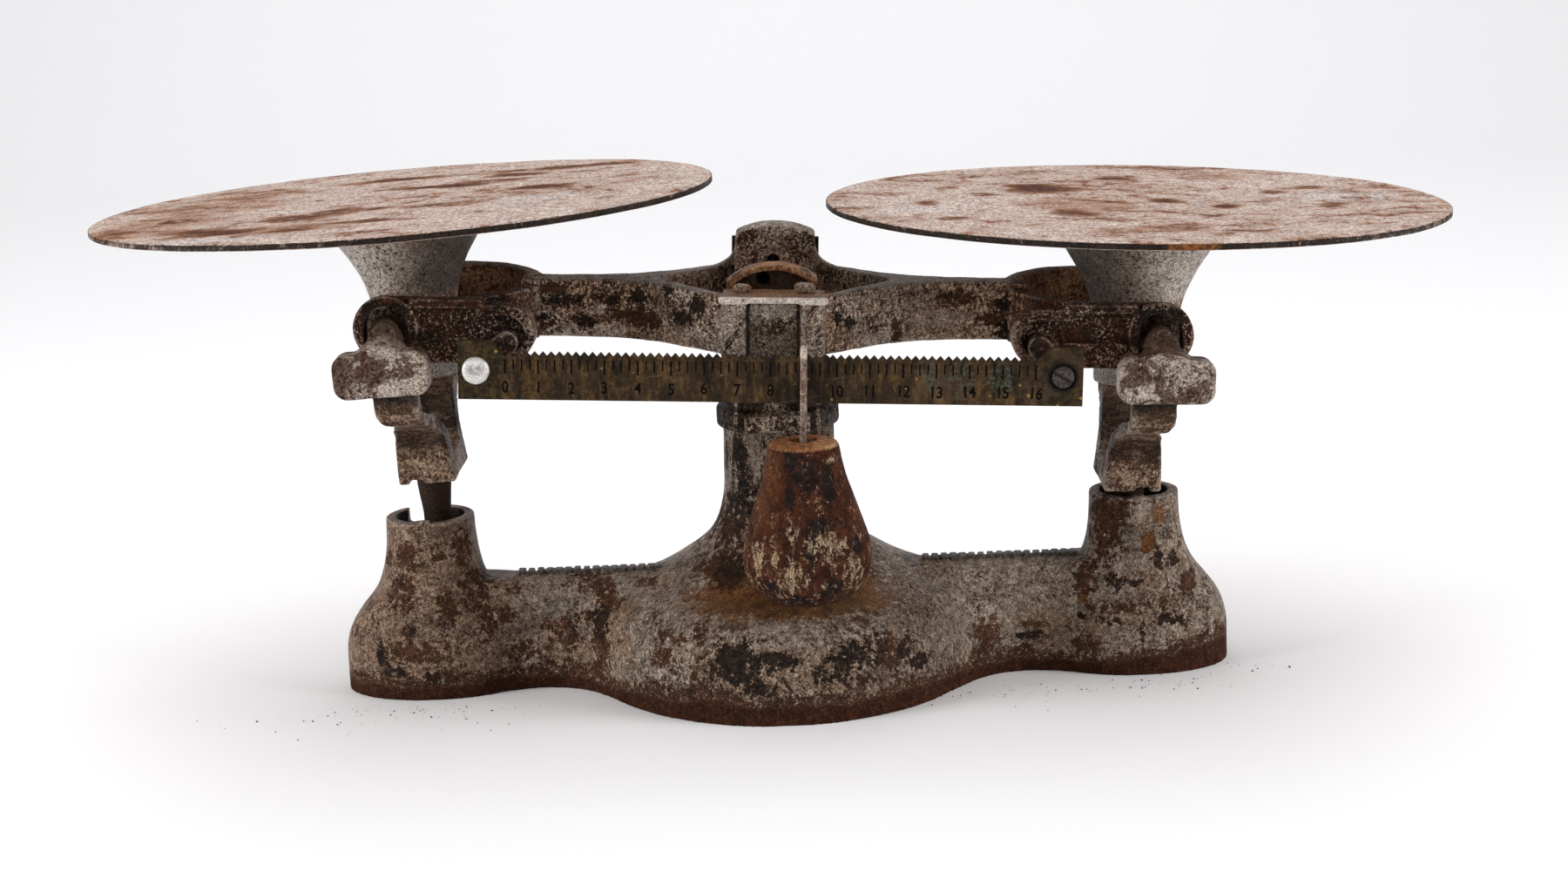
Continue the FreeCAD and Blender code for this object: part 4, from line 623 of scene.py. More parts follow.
def plate_steel(name, cx, seed, rows, film_rows, pale_rows):
    """Sheet steel with rust in streaks along x."""
    m = Mat(name)
    st = (0.70, 1.0, 1.0)
    a = m.wide(m.noise(0.036, 7.0, 0.72, 0.5, seed=seed + 1, stretch=st), 2.0)
    b = m.wide(m.noise(0.115, 7.0, 0.76, 0.5, seed=seed + 2, stretch=st), 2.1)
    c = m.wide(m.noise(0.36, 5.0, 0.76, seed=seed + 3, stretch=(1.0, 0.60, 1.0)), 2.3)
    g = m.wide(m.noise(0.95, 4.0, 0.76, seed=seed + 4, stretch=(1.0, 0.45, 1.0)), 2.4)
    big = m.noise(0.014, 3.0, 0.55, seed=seed + 5)
    edge = m.add(m.math("MULTIPLY_ADD", b, 1.3, -0.65), m.math("MULTIPLY_ADD", c, 1.0, -0.5))
    red = m.step(m.add(m.spots(rows, flat=True), edge), 2.0, 0.25)
    org = m.step(m.add(m.spots(film_rows, flat=True), edge), 1.8, 0.2)
    pal = m.step(m.add(m.spots(pale_rows, flat=True), edge), 1.6, 0.3)
    # bare metal: pale, slightly pink, finely mottled
    sh = m.wide(m.add(m.mul(c, 0.50), m.mul(g, 0.50)), 1.20)
    col = m.ramp(sh, [(0.12, (0.085, 0.044, 0.028)), (0.32, (0.285, 0.188, 0.140)), (0.54, (0.520, 0.395, 0.328)), (0.86, (0.960, 0.860, 0.785))])
    col = m.mix(m.mul(m.step(m.add(m.mul(a, 0.7), m.mul(pal, 0.25)), 0.42, 0.60), 0.55), col, m.mix(m.step(sh, 0.26, 0.70), (0.200, 0.170, 0.162), (0.800, 0.770, 0.770)))
    # thin orange-pink film
    fv = m.add(m.add(m.mul(a, 0.30), m.mul(c, 0.22)), m.add(m.mul(b, 0.18), m.add(m.mul(big, 0.26), m.mul(org, 0.17))))
    film = m.mul(m.step(fv, 0.46, 0.60), m.inv(m.mul(pal, 0.6)))
    col = m.mix(m.mul(film, 0.70), col, m.mix(m.step(sh, 0.28, 0.66), (0.120, 0.042, 0.0170), (0.500, 0.275, 0.170)))
    # rust patches
    v = m.add(m.add(m.mul(b, 0.36), m.mul(a, 0.24)), m.add(m.mul(c, 0.26), m.add(m.mul(g, 0.12), m.math("MULTIPLY_ADD", big, 0.20, -0.10))))
    v = m.add(v, m.add(m.mul(red, 0.165), m.mul(org, 0.070)))
    v = m.math("SUBTRACT", v, m.mul(pal, 0.06))
    p1 = m.step(v, 0.548, 0.584)
    p2 = m.step(v, 0.618, 0.660)
    col = m.mix(m.mul(p1, 0.92), col, m.mix(m.step(sh, 0.28, 0.66), (0.080, 0.0240, 0.0090), (0.290, 0.120, 0.052)))
    col = m.mix(m.mul(p2, 0.92), col, m.mix(m.step(sh, 0.30, 0.68), (0.028, 0.0085, 0.0046), (0.100, 0.030, 0.0125)))
    # specks, dark and light
    d = m.voro(0.36, seed=seed + 1, stretch=(1.0, 0.6, 1.0))
    sp = m.both(m.step(m.add(d, m.math("MULTIPLY_ADD", g, 0.3, -0.15)), 0.28, 0.15), m.step(m.noise(0.08, 3.0, 0.6, seed=seed + 7), 0.45, 0.58))
    col = m.mix(m.mul(sp, 0.78), col, (0.090, 0.030, 0.0130))
    d2 = m.voro(0.6, seed=seed + 2, stretch=(1.0, 0.5, 1.0))
    sp2 = m.both(m.step(d2, 0.22, 0.12), m.step(m.noise(0.12, 3.0, 0.6, seed=seed + 8), 0.52, 0.60))
    col = m.mix(m.mul(sp2, 0.75), col, (0.022, 0.0140, 0.0110))
    # rim: dark brown edge with a few bright nicks
    rx = m.math("SUBTRACT", m.x, cx)
    rr = m.math("SQRT", m.add(m.mul(rx, rx), m.mul(m.y, m.y)))
    rim = m.step(m.add(rr, m.math("MULTIPLY_ADD", c, 0.9, -0.45)), 113.5, 114.0)
    rc = m.mix(m.step(c, 0.40, 0.72), (0.0085, 0.0062, 0.0052), (0.034, 0.0205, 0.0140))
    rc = m.mix(m.step(m.noise(0.35, 4.0, 0.7, seed=seed + 9), 0.63, 0.70), rc, (0.200, 0.130, 0.092))
    col = m.mix(rim, col, rc)
    if name.endswith("right"):
        chip = m.both(m.step(m.add(m.spots([(141, -113, 8.5, 12)], flat=True), m.mul(edge, 0.5)), 1.2, 0.8), rim)
        col = m.mix(m.mul(chip, 0.95), col, m.mix(m.step(c, 0.36, 0.64), (0.080, 0.026, 0.0080), (0.240, 0.085, 0.0230)))
    rough = m.mixf(p1, m.step(c, 0.3, 0.7, 0.42, 0.60), 0.82)
    h = m.add(m.add(m.mul(c, 0.45), m.mul(g, 0.35)), m.add(m.mul(p1, 0.40), m.mul(b, 0.30)))
    return m.finish(col, rough, m.bump(h, 0.60, 0.00045), metal=0.0, spec=0.10)


def aged_brass():
    m = Mat("aged_brass")
    run = m.wide(m.noise(0.30, 6.0, 0.70, 0.4, seed=81, stretch=(1.0, 1.0, 0.20)), 1.9)
    mid = m.wide(m.noise(0.10, 6.0, 0.68, 0.4, seed=82, stretch=(1.0, 1.0, 0.55)), 1.9)
    fine = m.wide(m.noise(0.80, 5.0, 0.72, seed=83), 1.9)
    col = m.ramp(m.wide(m.add(m.mul(run, 0.42), m.add(m.mul(mid, 0.33), m.mul(fine, 0.25))), 1.35),
                 [(0.22, (0.0060, 0.0042, 0.0022)), (0.39, (0.0180, 0.0112, 0.0056)), (0.54, (0.0390, 0.0232, 0.0105)), (0.78, (0.125, 0.072, 0.0270))])
    # rubbed brown-yellow places, greener at the ends
    rub = m.both(m.step(m.noise(0.05, 4.0, 0.6, seed=84), 0.48, 0.60), m.step(run, 0.42, 0.66))
    rub = m.most(rub, m.mul(m.step(m.math("ABSOLUTE", m.add(m.x, 86.0)), 12.0, 4.0), m.step(run, 0.34, 0.58)))
    col = m.mix(m.mul(rub, 0.62), col, m.mix(m.step(fine, 0.36, 0.66), (0.034, 0.0180, 0.0066), (0.100, 0.054, 0.0190)))
    ends = m.most(m.step(m.x, -93, -99), m.step(m.x, 93, 99))
    col = m.mix(m.mul(ends, 0.65), col, m.mix(m.step(fine, 0.36, 0.68), (0.0080, 0.0064, 0.0026), (0.045, 0.034, 0.0125)))
    ver = m.both(m.step(m.add(m.spots([(55, -61, 124, 4, 6), (66, -61, 123, 5, 7), (80, -61, 122, 4, 6)]), m.math("MULTIPLY_ADD", mid, 1.0, -0.5)), 1.4, 0.6),
                 m.step(fine, 0.40, 0.60))
    col = m.mix(m.mul(ver, 0.60), col, m.mix(m.step(fine, 0.45, 0.72), (0.022, 0.036, 0.0240), (0.080, 0.118, 0.085)))
    pink = m.both(m.step(m.x, 25, 60), m.step(m.noise(0.14, 5.0, 0.7, seed=87), 0.48, 0.60))
    col = m.mix(m.mul(pink, 0.40), col, (0.070, 0.040, 0.0260))
    d = m.voro(0.22, seed=88)
    sp = m.both(m.step(d, 0.150, 0.085), m.step(m.noise(0.09, 3.0, 0.6, seed=89), 0.50, 0.58))
    col = m.mix(m.mul(sp, 0.85), col, m.mix(m.step(m.noise(0.05, 2.0, 0.5, seed=90), 0.46, 0.54), (0.30, 0.21, 0.040), (0.085, 0.11, 0.062)))
    scratch = m.step(m.noise(0.9, 3.0, 0.6, 0.2, seed=91, vec=m.map(m.p, rot=(0, math.radians(8), 0)), stretch=(0.05, 1.0, 1.0)), 0.65, 0.70)
    col = m.mix(m.mul(scratch, 0.35), col, (0.120, 0.092, 0.062))
    # dark ring of dirt round the screw at the right
    ring = m.step(m.spots([(101.5, -61, 121.9, 5.4, 5.4)], deep=60.0), 1.15, 0.92)
    col = m.mix(m.mul(ring, 0.88), col, (0.0075, 0.0060, 0.0045))
    h = m.add(m.mul(fine, 0.5), m.add(m.mul(run, 0.3), m.mul(scratch, -0.3)))
    return m.finish(col, m.step(fine, 0.3, 0.7, 0.50, 0.66), m.bump(h, 0.45, 0.00030), metal=0.0, spec=0.10)


def rusted_poise(cx, cz):
    m = Mat("rusted_iron")
    mid = m.wide(m.noise(0.10, 7.0, 0.70, 0.6, seed=101), 1.9)
    fine = m.wide(m.noise(0.50, 6.0, 0.74, seed=103), 1.9)
    grain = m.wide(m.noise(1.4, 4.0, 0.74, seed=104), 1.9)
    edge = m.add(m.math("MULTIPLY_ADD", mid, 1.0, -0.5), m.math("MULTIPLY_ADD", fine, 0.8, -0.4))
    h = m.math("SUBTRACT", m.z, cz)
    col = m.ramp(m.add(m.mul(mid, 0.38), m.add(m.mul(fine, 0.36), m.mul(grain, 0.26))),
                 [(0.24, (0.0075, 0.0030, 0.0021)), (0.41, (0.0270, 0.0084, 0.0042)), (0.54, (0.064, 0.0200, 0.0082)),
                  (0.66, (0.125, 0.044, 0.0165)), (0.82, (0.290, 0.130, 0.058))])
    org = m.step(m.add(m.spots(POISE_ORANGE, deep=12.0), edge), 1.4, 0.4)
    col = m.mix(m.mul(org, 0.70), col, m.mix(m.step(m.add(m.mul(fine, 0.5), m.mul(grain, 0.5)), 0.34, 0.68), (0.048, 0.0165, 0.0070), (0.165, 0.062, 0.0250)))
    blk = m.step(m.add(m.spots(POISE_BARE), edge), 1.35, 0.55)
    col = m.mix(m.mul(blk, 0.88), col, m.mix(m.step(fine, 0.36, 0.70), (0.0058, 0.0048, 0.0050), (0.0185, 0.0120, 0.0105)))
    foot = m.both(m.step(h, 8.0, 4.0), m.step(mid, 0.40, 0.52))
    col = m.mix(m.mul(foot, 0.70), col, (0.0105, 0.0078, 0.0082))
    # remains of cream paint, most on the lower half
    v = m.add(m.add(m.mul(mid, 0.34), m.mul(fine, 0.42)), m.mul(grain, 0.24))
    flow = m.wide(m.noise(0.50, 6.0, 0.76, 0.6, seed=107, stretch=(1.0, 1.0, 0.42)), 2.0)
    v = m.add(m.mul(v, 0.55), m.mul(flow, 0.45))
    pal = m.step(m.add(m.spots(POISE_PALE), edge), 1.9, 0.2)
    low = m.step(h, 44.0, 20.0, 0.0, 0.035)
    cream = m.step(m.add(v, m.add(m.mul(pal, 0.115), low)), 0.605, 0.650)
    col = m.mix(m.mul(cream, 0.86), col, m.mix(m.step(grain, 0.32, 0.68), (0.140, 0.074, 0.036), (0.54, 0.405, 0.265)))
    rub = m.both(m.step(m.noise(0.30, 5.0, 0.7, seed=106, stretch=(1.0, 1.0, 0.3)), 0.60, 0.65), m.step(h, 60.0, 52.0))
    col = m.mix(m.mul(rub, 0.45), col, (0.190, 0.110, 0.062))
    # flat top: bright orange grain, palest at the right
    top = m.step(h, 56.9, 58.0)
    tv = m.add(m.add(m.mul(fine, 0.45), m.mul(grain, 0.45)), m.step(m.x, cx, cx + 9.0, 0.0, 0.14))
    tc = m.ramp(tv, [(0.24, (0.060, 0.0190, 0.0080)), (0.40, (0.190, 0.072, 0.0280)), (0.56, (0.370, 0.170, 0.074)), (0.76, (0.66, 0.430, 0.240))])
    col = m.mix(m.mul(top, 0.93), col, tc)
    dx, dy = m.math("SUBTRACT", m.x, cx), m.add(m.y, 60.0)
    well = m.step(m.add(m.mul(dx, dx), m.mul(dy, dy)), 24.0, 19.0)
    col = m.mix(m.both(well, m.step(h, 40.0, 46.0), 0.92), col, (0.0100, 0.0065, 0.0050))
    # pale worn edges with a painted highlight
    worn_edge_highlight = m.step(m.pointy(), 0.525, 0.58)
    col = m.mix(m.mul(worn_edge_highlight, 0.45), col, (0.230, 0.140, 0.080))
    hh = m.add(m.add(m.mul(fine, 0.55), m.mul(grain, 0.40)), m.add(m.mul(cream, 0.30), m.mul(mid, 0.55)))
    return m.finish(col, m.mixf(cream, 0.74, 0.55), m.bump(hh, 0.90, 0.00070), spec=0.08)


def plain_steel(name, dark, light, rust, seed, rough=(0.35, 0.6), share=0.4, metal=0.6, scale=1.0, bump=0.3, spec=0.3, top=None):
    m = Mat(name)
    a = m.wide(m.noise(0.30 * scale, 6.0, 0.7, 0.4, seed=seed), 1.9)
    b = m.wide(m.noise(1.3 * scale, 4.0, 0.7, seed=seed + 1), 1.9)
    col = m.mix(m.step(b, 0.30, 0.70), dark, light)
    r = m.step(m.add(m.mul(a, 0.65), m.mul(b, 0.35)), 0.70 - share * 0.40, 0.78 - share * 0.40)
    col = m.mix(m.mul(r, 0.85), col, m.mix(m.step(b, 0.36, 0.66), tuple(c * 0.4 for c in rust), rust))
    pt = m.pointy()
    col = m.mix(m.mul(m.step(pt, 0.525, 0.58), 0.35), col, tuple(min(1.0, c * 1.5 + 0.03) for c in light))
    if top is not None:
        # rubbed bright above this height
        col = m.mix(m.mul(m.step(m.z, top - 0.8, top + 0.6), 0.85), col, m.mix(m.step(b, 0.30, 0.62), (0.34, 0.250, 0.185), (0.72, 0.620, 0.52)))
    h = m.add(m.mul(a, 0.45), m.mul(b, 0.35))
    return m.finish(col, m.mixf(r, m.step(b, 0.3, 0.7, rough[0], rough[1]), 0.8), m.bump(h, bump, 0.0003),
                    metal=m.mixf(r, metal, 0.0), spec=spec)


def bright_rivet():
    m = Mat("bright_rivet")
    a = m.wide(m.noise(0.42, 5.0, 0.62, 0.8, seed=111), 1.8)
    b = m.wide(m.noise(1.9, 4.0, 0.7, seed=112), 1.8)
    col = m.mix(m.step(b, 0.3, 0.7), (0.50, 0.475, 0.445), (0.82, 0.81, 0.79))
    d = m.both(m.step(m.add(m.spots([(-104.6, -62, 132.6, 3.0, 2.2)], deep=40.0), m.math("MULTIPLY_ADD", a, 1.0, -0.5)), 1.3, 0.6), m.step(a, 0.34, 0.50))
    col = m.mix(m.mul(d, 0.75), col, m.mix(m.step(b, 0.36, 0.64), (0.150, 0.130, 0.105), (0.36, 0.335, 0.30)))
    col = m.mix(m.mul(m.step(m.pointy(), 0.47, 0.42), 0.6), col, (0.12, 0.095, 0.060))
    h = m.add(m.mul(a, 0.6), m.mul(b, 0.2))
    return m.finish(col, m.step(b, 0.3, 0.7, 0.34, 0.52), m.bump(h, 0.55, 0.0005), metal=0.35)


def stamped_black():
    m = Mat("stamped_black")
    b = m.wide(m.noise(1.1, 4.0, 0.7, seed=121), 1.9)
    col = m.mix(m.step(b, 0.30, 0.62), (0.0012, 0.0010, 0.0008), (0.0065, 0.0046, 0.0028))
    return m.finish(col, m.step(b, 0.3, 0.7, 0.55, 0.8), m.bump(b, 0.3, 0.0002), spec=0.03)


# ------------------------------------------------------------------ geometry helpers
def cast(node, voxel, smooth=5, lump=0.0002, size=0.012, factor=0.5, seed=None):
    """Softens a casting: evenly meshed, rounded edges, and a slightly uneven skin."""
    o = nodes[node]
    r = o.modifiers.new("skin", "REMESH")
    r.mode = "VOXEL"
    r.voxel_size = voxel
    r.use_smooth_shade = True
    s = o.modifiers.new("round", "SMOOTH")
    s.factor = factor
    s.iterations = smooth
    if lump:
        t = bpy.data.textures.new(node + "_lump", "CLOUDS")
        t.noise_scale = size
        t.noise_depth = 3
        d = o.modifiers.new("lump", "DISPLACE")
        d.texture = t
        d.texture_coords = "LOCAL"
        d.strength = lump
        d.mid_level = 0.5
    return o


def smooth_shade(o, angle=35.0):
    for p in o.data.polygons:
        p.use_smooth = True
    mod = o.modifiers.new("bevel", "BEVEL")
    mod.limit_method = "ANGLE"
    mod.angle_limit = math.radians(angle)
    mod.width = 0.00018
    mod.segments = 2
    mod.harden_normals = True
    return o


def dress(o, mat):
    o.data.materials.clear()
    o.data.materials.append(mat)
    return o


def mesh_piece(name, bm, mat, body, smooth=True):
    bmesh.ops.recalc_face_normals(bm, faces=bm.faces)
    me = bpy.data.meshes.new(name)
    bm.to_mesh(me)
    bm.free()
    if smooth:
        for p in me.polygons:
            p.use_smooth = True
    o = bpy.data.objects.new(name, me)
    scene.collection.objects.link(o)
    me.materials.append(mat)
    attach(o, body)
    return o


# ------------------------------------------------------------------ materials
LPZ, RPZ = 142.4, 129.6
M_BASE = worn_iron("base_iron", cover=0.77, warm=0.40, specks=1.0, rust=0.80, seed=0.0, dark=0.06, film=0.50, spread=1.15, tone=1.0, extra=base_fields,
                   mottle=BASE_MOTTLE, stain=BASE_RUST, bare=BASE_BARE)
M_BEAM = worn_iron("beam_iron", tone=1.5, cover=0.64, warm=0.55, specks=0.80, rust=0.66, seed=20.0, dark=0.06, k=1.7, film=0.55, spread=1.8, extra=beam_fields,
                   stain=BEAM_RUST, bare=BEAM_BARE, pale=BEAM_PALE)
M_HEAD = worn_iron("head_iron", cover=0.62, warm=0.38, specks=0.8, rust=0.50, seed=40.0, dark=0.0, k=1.6, tone=1.4, spread=1.75, extra=head_fields)
M_CL = worn_iron("carrier_left_iron", cover=0.58, warm=0.45, specks=0.8, rust=0.60, seed=60.0, dark=0.04, k=1.4, tone=1.30, film=0.36, spread=1.05,
                 extra=carrier_fields(-138.35, LPZ, 60))
M_CR = worn_iron("carrier_right_iron", cover=0.58, warm=0.45, specks=0.8, rust=0.60, seed=80.0, dark=0.04, k=1.4, tone=1.30, film=0.36, spread=1.05,
                 extra=carrier_fields(138.35, RPZ, 80))
M_LUG = worn_iron("lug_iron", cover=0.35, warm=0.4, specks=0.6, rust=0.45, seed=100.0, dark=0.2, k=1.5)
M_PL = plate_steel("plate_steel_left", -135.0, 3.0, LEFT_RUST, LEFT_FILM, LEFT_PALE)
M_PR = plate_steel("plate_steel_right", 135.0, 9.0, RIGHT_RUST, RIGHT_FILM, RIGHT_PALE)
M_BRASS = aged_brass()
M_POISE = rusted_poise(9.4156, 43.4)
M_RIVET = bright_rivet()
M_SCREW = plain_steel("old_screw", (0.0120, 0.0090, 0.0075), (0.085, 0.066, 0.056), (0.06, 0.028, 0.017), 131, share=0.25, metal=0.1)
M_CORR = plain_steel("corroded_screw", (0.020, 0.0100, 0.0060), (0.480, 0.360, 0.270), (0.30, 0.140, 0.068), 133, share=0.55, metal=0.0, bump=0.9)
M_HOOK = plain_steel("hook_wire", (0.070, 0.042, 0.030), (0.38, 0.285, 0.228), (0.15, 0.066, 0.035), 135, share=0.50, metal=0.1, top=132.4)
M_STEM = plain_steel("dark_steel", (0.0080, 0.0058, 0.0046), (0.030, 0.0215, 0.0165), (0.045, 0.0190, 0.0090), 137, share=0.6, metal=0.0, rough=(0.6, 0.8), spec=0.10)
M_TOOL = plain_steel("tool_steel", (0.040, 0.033, 0.028), (0.13, 0.112, 0.098), (0.08, 0.037, 0.02), 139, share=0.5, metal=0.5)
M_LEAD = plain_steel("make_weight", (0.06, 0.06, 0.06), (0.15, 0.15, 0.147), (0.08, 0.054, 0.034), 141, share=0.2, metal=0.2)
M_MARK = stamped_black()

# ------------------------------------------------------------------ castings
dress(cast("base_casting", 0.00060, 3, 0.00045, 0.011), M_BASE)
dress(cast("beam_casting", 0.00060, 3, 0.00035, 0.009), M_BEAM)
dress(cast("fulcrum_head", 0.00050, 3, 0.00030, 0.009), M_HEAD)
dress(cast("carrier_left", 0.00065, 4, 0.00040, 0.008), M_CL)
dress(cast("carrier_right", 0.00065, 4, 0.00040, 0.008), M_CR)
for n in ("standoff_left", "standoff_right"):
    dress(cast(n, 0.00045, 4, 0.0002, 0.005), M_LUG)
dress(cast("rear_plate", 0.00035, 3, 0.0001, 0.006), M_LUG)
dress(cast("poise_body", 0.00065, 4, 0.00055, 0.0075), M_POISE)
dress(cast("block_screws", 0.00030, 4, 0.0006, 0.0022), M_CORR)
dress(cast("beam_rivet_left", 0.00022, 3, 0.00035, 0.0030), M_RIVET)
dress(cast("beam_screw_right", 0.00020, 2, 0.00008, 0.002), M_SCREW)
dress(cast("poise_hook", 0.00022, 6, 0.00012, 0.004), M_HOOK)
for n in ("stem_left", "stem_right"):
    dress(cast(n, 0.00040, 4, 0.0002, 0.004), M_STEM)
for n in ("check_link", "check_hanger"):
    dress(smooth_shade(nodes[n]), M_STEM)
for n in ("centre_knife", "end_knives", "fulcrum_bearings", "end_bearings_left", "end_bearings_right", "check_pivot",
          "hanger_screws", "stem_pin_left", "stem_pin_right", "poise_pin"):
    dress(smooth_shade(nodes[n]), M_TOOL)
for n in ("poise_plug", "tare_slug"):
    dress(smooth_shade(nodes[n]), M_LEAD)
dress(smooth_shade(nodes["graduated_beam"]), M_BRASS)
dress(smooth_shade(nodes["plate_spigot_left"]), M_PL)
dress(smooth_shade(nodes["plate_spigot_right"]), M_PR)


# ------------------------------------------------------------------ load plates: thin discs with a worn, slightly wavy rim
def plate_piece(node, mat, body, seed):
    pts = [v.co.copy() for v in nodes[node].data.vertices]
    lo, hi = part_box(node)
    mid = (lo + hi) / 2
    # normal from the widest chords of the disc
    far_x = max(pts, key=lambda p: p.x) - min(pts, key=lambda p: p.x)
    far_y = max(pts, key=lambda p: p.y) - min(pts, key=lambda p: p.y)
    nz = far_x.cross(far_y).normalized()
    ax = (far_x - nz * far_x.dot(nz)).normalized()
    ay = nz.cross(ax)
    hts = [(p - mid).dot(nz) for p in pts]
    z0, z1 = min(hts), max(hts)
    rad = max(((p - mid) - nz * (p - mid).dot(nz)).length for p in pts)
    R = [0.0] + [rad * k / 30.0 for k in range(1, 29)] + [rad - 0.0030, rad - 0.0014, rad - 0.0005, rad - 0.0001]
    N = 240
    bm = bmesh.new()

    def at(r, t, side):
        wob = noise.noise(Vector((math.cos(t) * 3.1, math.sin(t) * 3.1, seed)))
        nick = noise.noise(Vector((math.cos(t) * 26, math.sin(t) * 26, seed + 5)))
        k = 1.0 if r < rad * 0.93 else (1.0 - 0.0009 * (1 + wob) - 0.0011 * max(0.0, nick))
        x, y = r * math.cos(t) * k, r * math.sin(t) * k
        w = 0.00030 * noise.noise(Vector((x * 14, y * 14, seed + 9))) + 0.00010 * noise.noise(Vector((x * 55, y * 55, seed)))
        edge = max(0.0, (r - (rad - 0.0016)) / 0.0016)
        z = (z1 - 0.00055 * edge ** 2) if side else (z0 + 0.00055 * edge ** 2)
        if side:
            z = min(z + w - 0.00012, z1)
        else:
            z = max(z + w + 0.00012, z0) if r > 0.030 else z
        return mid + ax * x + ay * y + nz * z

    rings = {}
    for side in (1, 0):
        rings[side, 0] = [bm.verts.new(at(0.0, 0.0, side))]
        for i, r in enumerate(R[1:], 1):
            rings[side, i] = [bm.verts.new(at(r, 2 * math.pi * j / N, side)) for j in range(N)]
        for j in range(N):
            a, b = rings[side, 1][j], rings[side, 1][(j + 1) % N]
            bm.faces.new([rings[side, 0][0], a, b])
        for i in range(1, len(R) - 1):
            u, v = rings[side, i], rings[side, i + 1]
            for j in range(N):
                bm.faces.new([u[j], v[j], v[(j + 1) % N], u[(j + 1) % N]])
    u, v = rings[1, len(R) - 1], rings[0, len(R) - 1]
    for j in range(N):
        bm.faces.new([u[j], u[(j + 1) % N], v[(j + 1) % N], v[j]])
    o = mesh_piece(node + "_disc", bm, mat, body)
    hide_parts(node)
    return o


plate_piece("plate_left", M_PL, "left_carrier", 2.0)
plate_piece("plate_right", M_PR, "right_carrier", 7.0)

# ------------------------------------------------------------------ beads along the ridge of the base, worn round
def ridge_beads():
    rnd = random.Random(5)
    bm = bmesh.new()
    for sx, first, count in ((-1, 0.047, 16), (1, 0.054, 17)):
        for k in range(count):
            x = first + 0.0035 * k
            w = 0.00118 + rnd.uniform(-0.00004, 0.00020)
            c = bmesh.ops.create_cube(bm, size=1.0)["verts"]
            top = 0.0431 + rnd.uniform(0.00005, 0.00028)
            bmesh.ops.scale(bm, verts=c, vec=(2 * w, 0.0057, top - 0.0405))
            bmesh.ops.translate(bm, verts=c, vec=(sx * x, 0.0, (top + 0.0405) / 2))
    bmesh.ops.bevel(bm, geom=bm.edges[:], offset=0.00042, segments=3, affect="EDGES", profile=0.5)
    return mesh_piece("ridge_beads", bm, M_BASE, "base")


ridge_beads()

# ------------------------------------------------------------------ graduations on the brass beam
TILT, BRASS_TILT, ZC, SCREW_Z = math.radians(2.65), math.radians(0.2), 0.136, 0.127
ZERO_X, OUNCE, FACE_Y = -0.094, 0.01166, -0.0615


def about_y(angle, z):
    return Matrix.Translation((0, 0, z)) @ Matrix.Rotation(angle, 4, "Y") @ Matrix.Translation((0, 0, -z))


BRASS = about_y(TILT, ZC) @ about_y(BRASS_TILT, SCREW_Z)
ON_FACE = Matrix.Rotation(math.radians(90), 4, "X")


def marks():
    bm = bmesh.new()

    def bar(x, z0, z1, w):
        c = bmesh.ops.create_cube(bm, size=1.0)["verts"]
        bmesh.ops.scale(bm, verts=c, vec=(w, 0.00010, z1 - z0))
        bmesh.ops.translate(bm, verts=c, vec=(x, FACE_Y, (z0 + z1) / 2))

    for k in range(65):
        x = ZERO_X + OUNCE * k / 4.0
        z1 = 0.13105
        ln = 0.0052 if k % 4 == 0 else (0.0042 if k % 2 == 0 else 0.0036)
        bar(x, z1 - ln, z1, 0.00062 if k % 4 == 0 else 0.00050)
    for k in range(17):
        cu = bpy.data.curves.new("n%d" % k, "FONT")
        cu.body = str(k)
        cu.size = 0.0058
        cu.align_x = "CENTER"
        cu.extrude = 0.00006
        cu.offset = 0.00010
        cu.resolution_u = 4
        ob = bpy.data.objects.new("n%d" % k, cu)
        scene.collection.objects.link(ob)
        bpy.context.view_layer.update()
        me = bpy.data.meshes.new_from_object(ob.evaluated_get(bpy.context.evaluated_depsgraph_get()))
        lift = 0.00022 * math.sin(k * 2.3)
        me.transform(Matrix.Translation((ZERO_X + OUNCE * k, FACE_Y, 0.1192 + lift)) @ Matrix.Rotation(math.radians(3.0 * math.sin(k * 1.7)), 4, "Y")
                     @ ON_FACE @ Matrix.Scale(0.86, 4, (1, 0, 0)))
        bm.from_mesh(me)
        bpy.data.objects.remove(ob)
        bpy.data.meshes.remove(me)
        bpy.data.curves.remove(cu)
    bmesh.ops.transform(bm, matrix=BRASS, verts=bm.verts)
    return mesh_piece("graduation_marks", bm, M_MARK, "beam", smooth=False)


marks()

